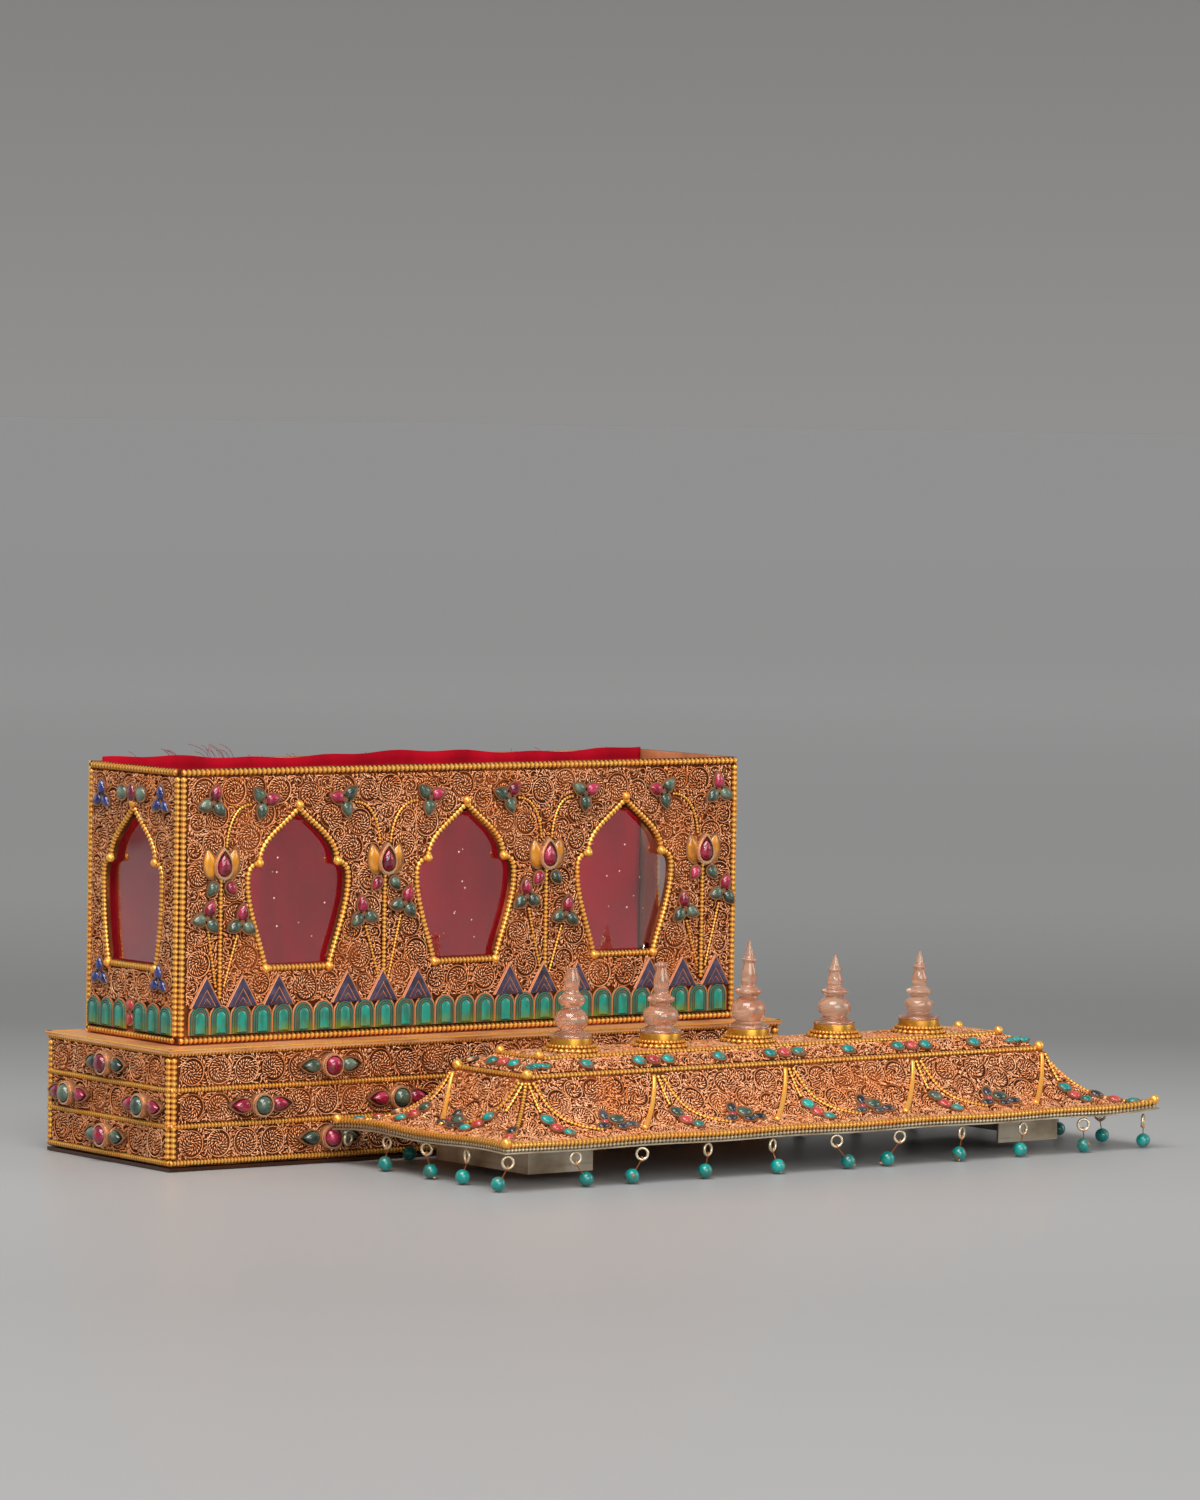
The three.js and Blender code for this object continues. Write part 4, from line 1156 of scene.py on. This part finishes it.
def roof_sheet():
    soup = Soup(lid_surface)
    under = [
        roof_ring(CROWN_HALF - 2, CROWN_PLATE - SHEET),
        roof_ring(RIM_HALF - 2, SLOPE_HEAD - 2.2),
        roof_ring(EAVE_HALF - ROOF_RUN * 0.86, EAVE_UNDER + 8),
        roof_ring(EAVE_HALF - ROOF_RUN * 0.6, EAVE_UNDER + SHEET),
        roof_ring(SOFFIT_HALF, EAVE_UNDER + SHEET),
        roof_ring(SOFFIT_HALF, EAVE_UNDER),
        roof_ring(EAVE_HALF, EAVE_UNDER, 1.0),
        roof_ring(EAVE_HALF, EAVE_UNDER + 0.5, 1.0),
    ]
    stack(soup, under, "tinned_sheet", smooth=False)
    upper = [
        roof_ring(EAVE_HALF - 1.0, EAVE_UNDER + 0.4, 1.0),
        *(roof_ring(RIM_HALF + ROOF_RUN * t, slope_height(t), t) for t in np.linspace(0.97, 0, 14)),
        roof_ring(RIM_HALF - RIDGE_WIRE, TIER_FOOT),
        roof_ring(CROWN_HALF, TIER_HEAD),
        roof_ring(CROWN_HALF - RIDGE_WIRE, CROWN_PLATE),
    ]
    stack(soup, upper, "pigment", smooth=False)
    soup.piece("lid_roof_sheet", "copper_filigree", ["lid_roof"])


# A smooth rib through its places, which are mirrored where side is -1, and its radius
def rib(x, side, places, radius):
    points = np.array([(x + side * dx, t) for dx, t in places])
    share, fine = np.linspace(0, 1, len(points)), np.linspace(0, 1, 24)
    fit = [np.polyval(np.polyfit(share, points[:, k], min(3, len(points) - 1)), fine) for k in (0, 1)]
    flat = np.array([(x, slope_up(t)) for x, t in zip(*fit)])
    return raised(resample(flat, 1.0), RIB_LIFT), radius


def slope_trio(soup, x, side, first="turquoise"):
    trio = ((1.2, 0.36, first, 4.9), (2.8, 0.49, "coral", 4.6), (6.0, 0.60, "turquoise", 4.2))
    for dx, t, look, length in trio:
        stone(soup, x + side * dx, slope_up(t), look, length, 0.85 * length, 2.6, side * -0.5)


# A flower of dark stones round a green one
def flower(soup, x, t, side):
    y = slope_up(t)
    for dx, dy, length, width, degrees in PETALS:
        angle = math.radians(degrees if side > 0 else 180 - degrees)
        stone(soup, x + side * dx, y + dy, "slate", length, width, 2.3, angle)
    stone(soup, x - side * 4.6, y - 0.2, "coral", 2.6, 2.4, 2.0)
    stone(soup, x, y, "green", 6.2, 4.6, 3.0)


def hip_stones(soup, reach):
    for t, look in ((0.5, "slate"), (0.66, "coral"), (0.82, "turquoise")):
        stone(soup, reach + ROOF_RUN * t - 1.5, slope_up(t), look, 4.6, 3.8, 2.4, -0.8)


# Stones of a slope, and its ribs: a long side has four bays, an end only one, which runs to the back
def slope_ornament(quarter, stones):
    half = RIM_HALF[quarter % 2]
    if quarter % 2 == 0:
        starts = [-half, *(-half + k * BAY + BAY_SHIFT for k in (1, 2, 3)), half]
        for k, x in enumerate(starts):
            slope_trio(stones, x, 1, "green" if k in (1, 3) else "turquoise")
        for x in starts[:4]:
            flower(stones, x + 28.6, 0.43, 1)
        fans = [rib(x, 1, *kind) for x in starts[:4] for kind in BAY_RIBS]
        return [*fans, *(rib(x, 1, *SMOOTH_RIB) for x in starts[1:]), rib(half, 1, *LONG_END_RIB)]
    side = 1 if quarter == 1 else -1
    slope_trio(stones, -side * half + side * 5, side)
    slope_trio(stones, side * half, side, "green")
    flower(stones, -side * 1.0, 0.47, -side)
    ends = [rib(side * half, side, *kind) for kind in (SMOOTH_RIB, SHORT_END_RIB)]
    return [rib(-side * half, side, *kind) for kind in BAY_RIBS] + ends


def dress_slope(quarter, coils, stones, filigree):
    ribs = slope_ornament(quarter, stones)
    for path, radius in ribs:
        if radius < PLAIN_RIB:
            coil(coils, path, radius, RIB_PITCH)
        else:
            tube(coils, path, radius * np.linspace(0.85, 1.25, len(path)), "gilt", 8, tones=0.7)
    half = RIM_HALF[quarter % 2]
    room = Room((-half - ROOF_RUN, 2.4), (half + ROOF_RUN, SLOPE_LENGTH - 0.3))
    side = half + ROOF_RUN * slope_share(room.y) - np.abs(room.x)
    room.limit(side * 0.75 - 0.7, room.y - 2.2, SLOPE_LENGTH - 0.3 - room.y)
    for path, radius in ribs:
        room.keep_off(path, radius)
    room.pack(SLOPE_DISCS)
    fill(filigree, room, spacing_on(quarter))


def dress_tier(quarter, stones, filigree):
    half = RIM_HALF[quarter % 2] - RIDGE_WIRE
    length = tier_size(quarter)[2]
    middle = length * 0.45
    long = quarter % 2 == 0
    for x in (-BAY, 0.0, BAY) if long else (0.0,):
        for dx, look in ((-6.2, "turquoise"), (0.0, "coral"), (6.2, "turquoise")):
            stone(stones, x + dx, middle, look, 4.6, 4.0, 2.8)
    if long:
        for bays in (-1.5, -0.5, 0.5, 1.5):
            stone(stones, bays * BAY, middle, "turquoise", 4.8, 4.0, 2.6)
        for end in (-105.0, 105.0):
            for dx, dy, angle in ((-3.4, 0.0, PI), (0.0, 0.6, 0.0), (3.4, 0.2, 0.0)):
                stone(stones, end + dx, middle + dy, "turquoise", 4.4, 3.0, 2.0, angle, "drop")
    room = Room((-half, 0.9), (half, length - 0.6))
    narrow = (half - CROWN_HALF[quarter % 2]) / length
    side = half - narrow * room.y - np.abs(room.x)
    room.limit(side * 0.7, room.y - 0.7, length - 0.6 - room.y)
    room.pack(TIER_DISCS)
    fill(filigree, room, spacing_on(quarter))


def dress_crown(filigree):
    half = CROWN_HALF - RIDGE_WIRE
    room = Room(-half, half)
    room.limit(room.x + half[0], half[0] - room.x, room.y + half[1], half[1] - room.y)
    for place in STUPA_PLACES:
        room.limit(np.hypot(room.x - place, room.y) - COLLAR_ROOM)
    room.pack(CROWN_DISCS)
    fill(filigree, room, CROWN_SPACING)


# Coils along the eaves, ridges and hips, with balls at their corners
def ridge_coils(coils):
    rim, crown = RIM_HALF - RIDGE_WIRE / 2, CROWN_HALF - RIDGE_WIRE / 2
    for half, z, t, radius, look in (
        (EAVE_HALF - 1.0, EAVE_UNDER + 2.75, 1.0, 1.2, "gilt"),
        (EAVE_HALF - 0.8, EAVE_UNDER + 1.15, 1.0, 0.85, "grey_wire"),
        (rim, TIER_FOOT, 0.0, 1.1, "gilt"),
        (crown, CROWN_PLATE, 0.0, 1.05, "gilt"),
    ):
        coil(coils, roof_ring(half, z, t), radius, EAVE_PITCH, look, closed=True)
    t = np.linspace(0.03, 0.95, 24)
    for corner in CORNERS:
        ball(coils, (*(corner * rim), TIER_FOOT + 0.9), 1.9)
        ball(coils, (*(corner * crown), CROWN_PLATE + 1.1), 1.7)
        tip = np.array([[*(corner * (EAVE_HALF - 1)), EAVE_UNDER + 3.6]])
        ball(coils, bend_eave(tip, np.ones(1))[0], 1.8)
        flat = corner * (rim + (ROOF_RUN + 0.9) * t[:, None])
        coil(coils, bend_eave(np.column_stack([flat, slope_height(t) + 0.7]), t), 0.8, RIB_PITCH)


def dress_lid():
    roof_sheet()
    coils, stones, filigree, crown = (Soup() for _ in range(4))
    for quarter in range(4):
        for soup in (coils, stones, filigree):
            soup.turn_to(slope_panel(quarter), quarter * 60.0)
        dress_slope(quarter, coils, stones, filigree)
        for soup in (stones, crown):
            soup.turn_to(tier_panel(quarter), quarter * 60.0)
        dress_tier(quarter, stones, crown)
    crown.turn_to(crown_surface(0.0, CROWN_PLATE), 240.0)
    dress_crown(crown)
    coils.turn_to(lid_surface, 300.0)
    ridge_coils(coils)
    for quarter in range(4):
        stones.turn_to(slope_panel(quarter))
        hip_stones(stones, RIM_HALF[quarter % 2])
    coils.piece("lid_coils", "gilded_wire", mapped=True)
    filigree.piece("lid_filigree", "copper_filigree", mapped=True)
    crown.piece("lid_crown_filigree", "copper_filigree", mapped=True)
    stones.piece("lid_stones", "set_stones", crisp=True)


# Stupas and collars
def lathe(soup, profile, look, tones=1.0):
    stack(soup, [circle(radius, z, 40) for radius, z in profile], look, tones)


# A ring of round beads
def bead_ring(soup, radius, z, bead, count):
    # the necks between beads take the groove colour as painted shade
    swell, tones = np.tile([0.42, 0.9, 1.0, 0.9], count), np.tile([0.0, 0.4, 0.65, 0.4], count)
    tube(soup, circle(radius, z, len(swell)), bead * swell, "gilt", 8, tones=tones, closed=True)


def collar(number, x):
    soup = Soup(crown_surface(x, COLLAR_FOOT))
    lathe(soup, COLLAR_PROFILE, "old_gilt", COLLAR_TONES)
    for ring in COLLAR_BEADS:
        bead_ring(soup, *ring)
    soup.piece(f"stupa_collar_{number}_gilt", "gilded_wire", [f"stupa_collar_{number}"])


def stupa_profile(bell, radius, disc, spire, tip):
    neck = BELL_FOOT + bell
    waist = neck + disc
    head = waist + spire
    profile = list(FOOT_PROFILE)
    for angle in np.linspace(-0.9, 1.05, 13):
        z = BELL_FOOT + bell * (0.46 + 0.58 * math.sin(angle))
        profile.append((radius * 1.05 * math.cos(angle) ** 0.85, z))
    profile += [(r, neck + disc * share) for r, share in DISC_PROFILE]
    profile += [(r, waist + spire * share) for r, share in SPIRE_PROFILE]
    profile += [(r, head + z) for r, z in (TIP_DISC if tip else BROKEN_TIP)]
    if tip:
        profile += [(1.7 * (1 - share) ** 0.8, head + 1.5 + tip * share) for share in TIP_SHARES]
    return profile


def stupa(number, x, size):
    soup = Soup(crown_surface(x, STUPA_FOOT))
    lathe(soup, stupa_profile(**size), "rock_crystal")
    soup.piece(f"crystal_stupa_{number}_carved", "rock_crystal", [f"crystal_stupa_{number}"])


# A drop under the eave: ring, and below it an eye, a twisted wire and a bead with the wire's tail
def drop(number, place, turn, lift, lean):
    soup = Soup(lambda p: lid_surface(spun(p, turn, place)))
    ring_z = EAVE_UNDER + min(lift, 0.0) - DROP_GAP - DROP_RING - DROP_WIRE
    tilt = 0.5 * math.sin(1.7 * number)
    across = np.array([math.cos(tilt), math.sin(tilt), 0.0])
    flat = circle(DROP_RING, 0.0, 20)
    ring = np.outer(flat[:, 0], across) + np.outer(flat[:, 1] + ring_z, UP)
    tube(soup, ring, DROP_WIRE, "brass", 8, tones=0.9, closed=True, normal=np.cross(UP, across))
    if number != LOST_BEAD:
        head = np.array([0.0, 0.0, ring_z - DROP_RING + 0.2])
        bead = np.array([lean, 0.0, DROP_BEAD + 0.1])
        along = unit(bead - head)
        path = resample([head - along * 0.2, head + along * 0.8, bead], 0.35)
        tube(soup, path, DROP_SHANK, "copper_wire", 3, PI / 3, 0.35, smooth=False, normal=(0, 1, 0))
        eye = head + circle(DROP_EYE, 0.0, 10)[:, [2, 0, 1]]
        tube(soup, eye, DROP_EYE_WIRE, "copper_wire", 5, tones=0.6, closed=True, normal=(1, 0, 0))
        out = np.array([math.cos(2.1 * number), math.sin(2.1 * number), 0.0])
        tail = [bead + along * down + out * aside for down, aside in ((1.8, 0), (2.2, 1.2), (2.1, 1.75))]
        tube(soup, tail, DROP_TAIL, "copper_wire", 5, tones=0.7, normal=(0.3, 0.9, 0.2))
        ball(soup, bead, DROP_BEAD, "turquoise", 22, 13)
    soup.piece(f"bead_drop_{number:02d}_strung", "set_stones", [f"bead_drop_{number:02d}"])


def dress_drops():
    corners = CORNERS * (EAVE_HALF - DROP_INSET)
    number = 0
    for side in range(4):
        count = SHORT_DROPS if side % 2 else LONG_DROPS
        for k in range(count):
            number += 1
            share = k / count
            place = corners[side] * (1 - share) + corners[(side + 1) % 4] * share
            lift = CORNER_LIFT[tuple(CORNERS[side])] if k == 0 else 0.0
            lean = FRONT_LEANS[k] if side == 0 else 2.5 * math.sin(2.4 * number)
            drop(number, place, side * PI / 2 - (PI / 4 if k == 0 else 0.0), lift, lean)


# Panes and velvet
def node_box(name):
    return (np.array(corner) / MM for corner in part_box(name))


def sheet_points(low, high, columns, rows, face):
    x, z = np.meshgrid(np.linspace(low[0], high[0], columns), np.linspace(low[2], high[2], rows))
    return np.column_stack([x.ravel(), np.full(x.size, face), z.ravel()])


# A closed sheet of some thickness behind a grid of points that faces -Y
def closed_sheet(soup, front, columns, rows, thickness, look):
    grid = np.arange(columns * rows).reshape(rows, columns)
    corners = (grid[:-1, :-1], grid[:-1, 1:], grid[1:, 1:], grid[1:, :-1])
    faces = np.column_stack([corner.ravel() for corner in corners])
    loop = np.concatenate([grid[0], grid[1:, -1], grid[-1, -2::-1], grid[-2:0:-1, 0]])
    following = np.roll(loop, -1)
    count = grid.size
    rim = np.column_stack([loop + count, following + count, following, loop])
    both = np.vstack([front, front + [0, thickness, 0]])
    soup.add(both, np.vstack([faces, faces[:, ::-1] + count, rim]), look)


# A pane; those at the ends are built along X, then turned
def pane(name):
    low, high = node_box(name)
    middle, half = (low + high) / 2, (high - low) / 2
    turn, columns, rows = 0.0, 40, 12
    if half[1] > half[0]:
        turn, columns, half = PI / 2, 14, half[[1, 0, 2]]
    inner = half[1] - PANE_FILM if name in ("pane_front", "pane_right") else -half[1]
    front = sheet_points(-half, half, columns, rows, inner)
    front[:, 1] += PANE_WAVE * np.sin(front[:, 0] * 0.11 + 0.5) * np.sin(front[:, 2] * 0.13)
    soup = Soup(lambda p: spun(p, turn) + middle)
    closed_sheet(soup, front, columns, rows, PANE_FILM, "clear_pane")
    soup.piece(f"{name}_sheet", "clear_pane", [name]).visible_shadow = False


def pane_specks():
    soup = Soup(flat_panel(0, LONG_FACE, BOX_Y, WALL_FOOT))
    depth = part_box("pane_front")[1][1] / MM - PANE_FILM - (BOX_Y - LONG_FACE)
    for x in LONG_WINDOWS:
        for _ in range(SPECKS):
            place = (x + random.normal(0, 7), random.uniform(32, 66), -depth)
            size = random.uniform(0.16, 0.36)
            stack(soup, [circle(size, 0.02, 6) + place, circle(size * 0.6, 0.1, 6) + place], "speck")
    soup.piece("pane_front_specks", "clear_pane")


def velvet_lining():
    low, high = node_box("velvet_lining")
    columns, rows = 110, 34
    front = sheet_points(low, high, columns, rows, low[1])
    x, rise = front[:, 0], (front[:, 2] - low[2]) / (high[2] - low[2])
    ripple = np.sin(x * 0.16 + 2 * rise) * 0.18 + np.sin(x * 0.47 + 1) * 0.08
    top = 0.7 * np.sin(x * 0.055 + 0.8) + 0.35 * np.sin(x * 0.21)
    front[:, 1] += (ripple + 0.15) * (1 - 0.4 * rise)
    front[:, 2] += top * rise**6 - 0.3 * rise
    soup, threads = Soup(), Soup()
    closed_sheet(soup, front, columns, rows, VELVET_SHEET, "velvet")
    cloth = soup.piece("velvet_lining_cloth", "red_velvet", ["velvet_lining"])
    share = np.linspace(0, 1, 6)
    for k in range(THREADS):
        start, run, shortest, longest = (4, 50, 4.0, 9.0) if k < LONG_THREADS else (55, 160, 1.0, 2.4)
        x = low[0] + (start + run * random.random())
        length = random.uniform(shortest, longest)
        lean = random.uniform(-1.3, 0.2) * length
        y = low[1] + 0.4 - random.uniform(-1, 1) * share**2
        z = high[2] - 1.0 + length * (share - 0.4 * share**2)
        tube(threads, np.column_stack([x + lean * share**1.3, y, z]), THREAD, "velvet", 4, normal=(0, 1, 0))
    loose = threads.piece("velvet_threads", "red_velvet")


for quarter in range(4):
    dress_wall(quarter)
dress_plinth()
dress_lid()
for number, (x, size) in enumerate(zip(STUPA_PLACES, STUPAS), 1):
    collar(number, x)
    stupa(number, x, size)
dress_drops()
for name in ("pane_front", "pane_back", "pane_left", "pane_right"):
    pane(name)
pane_specks()
velvet_lining()

# Pieces that keep their solids and take a finish
# plinth_bottom has no tone, so it takes the bezel look's groove colour all over: painted shade under the
# coils
FINISHES = {"lid_tab_left": "tinned_sheet", "lid_tab_right": "tinned_sheet", "plinth_bottom": "bezel"}
for name, look in FINISHES.items():
    node = frame["nodes"][name]
    node.data.materials.clear()
    node.data.materials.append(LOOKS[look])


# Stage, light and camera, in metres
FLOOR_RADIUS, FLOOR_SIDES, FLOOR_Z = 60.0, 96, -0.0002
# The floor's tones are painted light: brightest round the object, darker just behind it, brighter again far
# off
FLOOR_PAINTED_LIGHT = (  # distance behind the object's middle, and tone
    (-0.75, 0.29), (-0.42, 0.30), (-0.17, 0.36), (0.1, 0.36), (0.31, 0.27),
    (0.45, 0.21), (0.62, 0.23), (1.2, 0.41), (3.6, 0.79), (9.8, 0.87),
)
WORLD_TONES = ((0.0, 0.28), (0.06, 0.222), (0.4, 0.34))  # height and tone
WARM, WHITE = (1.0, 0.97, 0.93), (1.0, 1.0, 1.0)
LIGHTS = (  # name, place, target, size, power and colour
    ("key", (-0.7, -0.6, 1.5), (0.0, 0.0, 0.05), (1.2, 0.9), 28.0, WARM),
    ("front", (-0.5, -2.2, 0.75), (0.05, -0.03, 0.06), (1.6, 1.0), 26.0, WARM),
    ("side", (1.8, -1.2, 0.7), (0.05, -0.03, 0.06), (1.2, 1.0), 10.0, WHITE),
    ("left", (-1.05, 1.3, 0.51), (-0.12, 0.0, 0.08), (1.4, 1.0), 3.4, WHITE),
    ("sparkle", (-1.3, -1.5, 1.3), (0.0, 0.0, 0.06), (0.3, 0.3), 9.0, WARM),
)


def floor():
    look = Look("floor", Roughness=0.38, Specular_IOR_Level=0.35)
    behind = look.node("VectorMath")
    behind.operation = "DOT_PRODUCT"
    look.link(behind.inputs[0], look.place())
    look.link(behind.inputs[1], (math.sin(CAMERA_YAW), math.cos(CAMERA_YAW), 0.0))
    start, end = FLOOR_PAINTED_LIGHT[0][0], FLOOR_PAINTED_LIGHT[-1][0]
    share = look.spread(behind.outputs["Value"], 0.0, 1.0, start, end)
    tints = np.array([0.97, 0.99, 1.02])
    stops = [((s - start) / (end - start), tone * tints) for s, tone in FLOOR_PAINTED_LIGHT]
    look.paint(Base_Color=look.ramp(share, *stops))
    mesh = bpy.data.meshes.new("floor")
    mesh.from_pydata(circle(FLOOR_RADIUS, 0.0, FLOOR_SIDES).tolist(), [], [list(range(FLOOR_SIDES))])
    mesh.materials.append(look.material)
    obj = bpy.data.objects.new("floor", mesh)
    obj.location = (0.0, 0.0, FLOOR_Z)
    bpy.context.scene.collection.objects.link(obj)


def put(name, data, right, up, back, place):
    obj = bpy.data.objects.new(name, data)
    obj.matrix_world = Matrix([*zip(right, up, back, place), (0, 0, 0, 1)])
    bpy.context.scene.collection.objects.link(obj)
    return obj


def area_light(name, place, target, size, power, colour):
    data = bpy.data.lights.new(name, "AREA")
    data.shape = "RECTANGLE"
    data.size, data.size_y = size
    data.energy = power
    data.color = colour
    back = unit(np.subtract(place, target))
    right = unit(np.cross(UP, back))
    put(name, data, right, np.cross(back, right), back, place)


def camera():
    yaw, pitch, roll = CAMERA_YAW, CAMERA_PITCH, CAMERA_ROLL
    ahead = np.array([math.sin(yaw) * math.cos(pitch), math.cos(yaw) * math.cos(pitch), -math.sin(pitch)])
    level = np.array([math.cos(yaw), -math.sin(yaw), 0.0])
    over = np.cross(level, ahead)
    right = math.cos(roll) * level + math.sin(roll) * over
    up = -math.sin(roll) * level + math.cos(roll) * over
    data = bpy.data.cameras.new("camera")
    data.sensor_width = 36.0
    data.lens = data.sensor_width * FOCAL_PIXELS / PHOTO_HEIGHT
    bpy.context.scene.camera = put("camera", data, right, up, -ahead, CAMERA_PLACE * MM)


def world():
    made = bpy.data.worlds.new("studio")
    made.use_nodes = True
    tree = made.node_tree
    place, split, ramp = (
        tree.nodes.new(f"ShaderNode{kind}") for kind in ("TexCoord", "SeparateXYZ", "ValToRGB")
    )
    tree.links.new(place.outputs["Generated"], split.inputs[0])
    tree.links.new(split.outputs[2], ramp.inputs["Fac"])
    tree.links.new(ramp.outputs[0], tree.nodes["Background"].inputs["Color"])
    ramp.color_ramp.elements.new(0.5)
    for element, (position, tone) in zip(ramp.color_ramp.elements, WORLD_TONES):
        element.position = position
        element.color = (tone, tone * 0.987, tone * 0.963, 1.0)
    bpy.context.scene.world = made


floor()
for light in LIGHTS:
    area_light(*light)
camera()
world()
bpy.context.scene.view_settings.view_transform = "Standard"
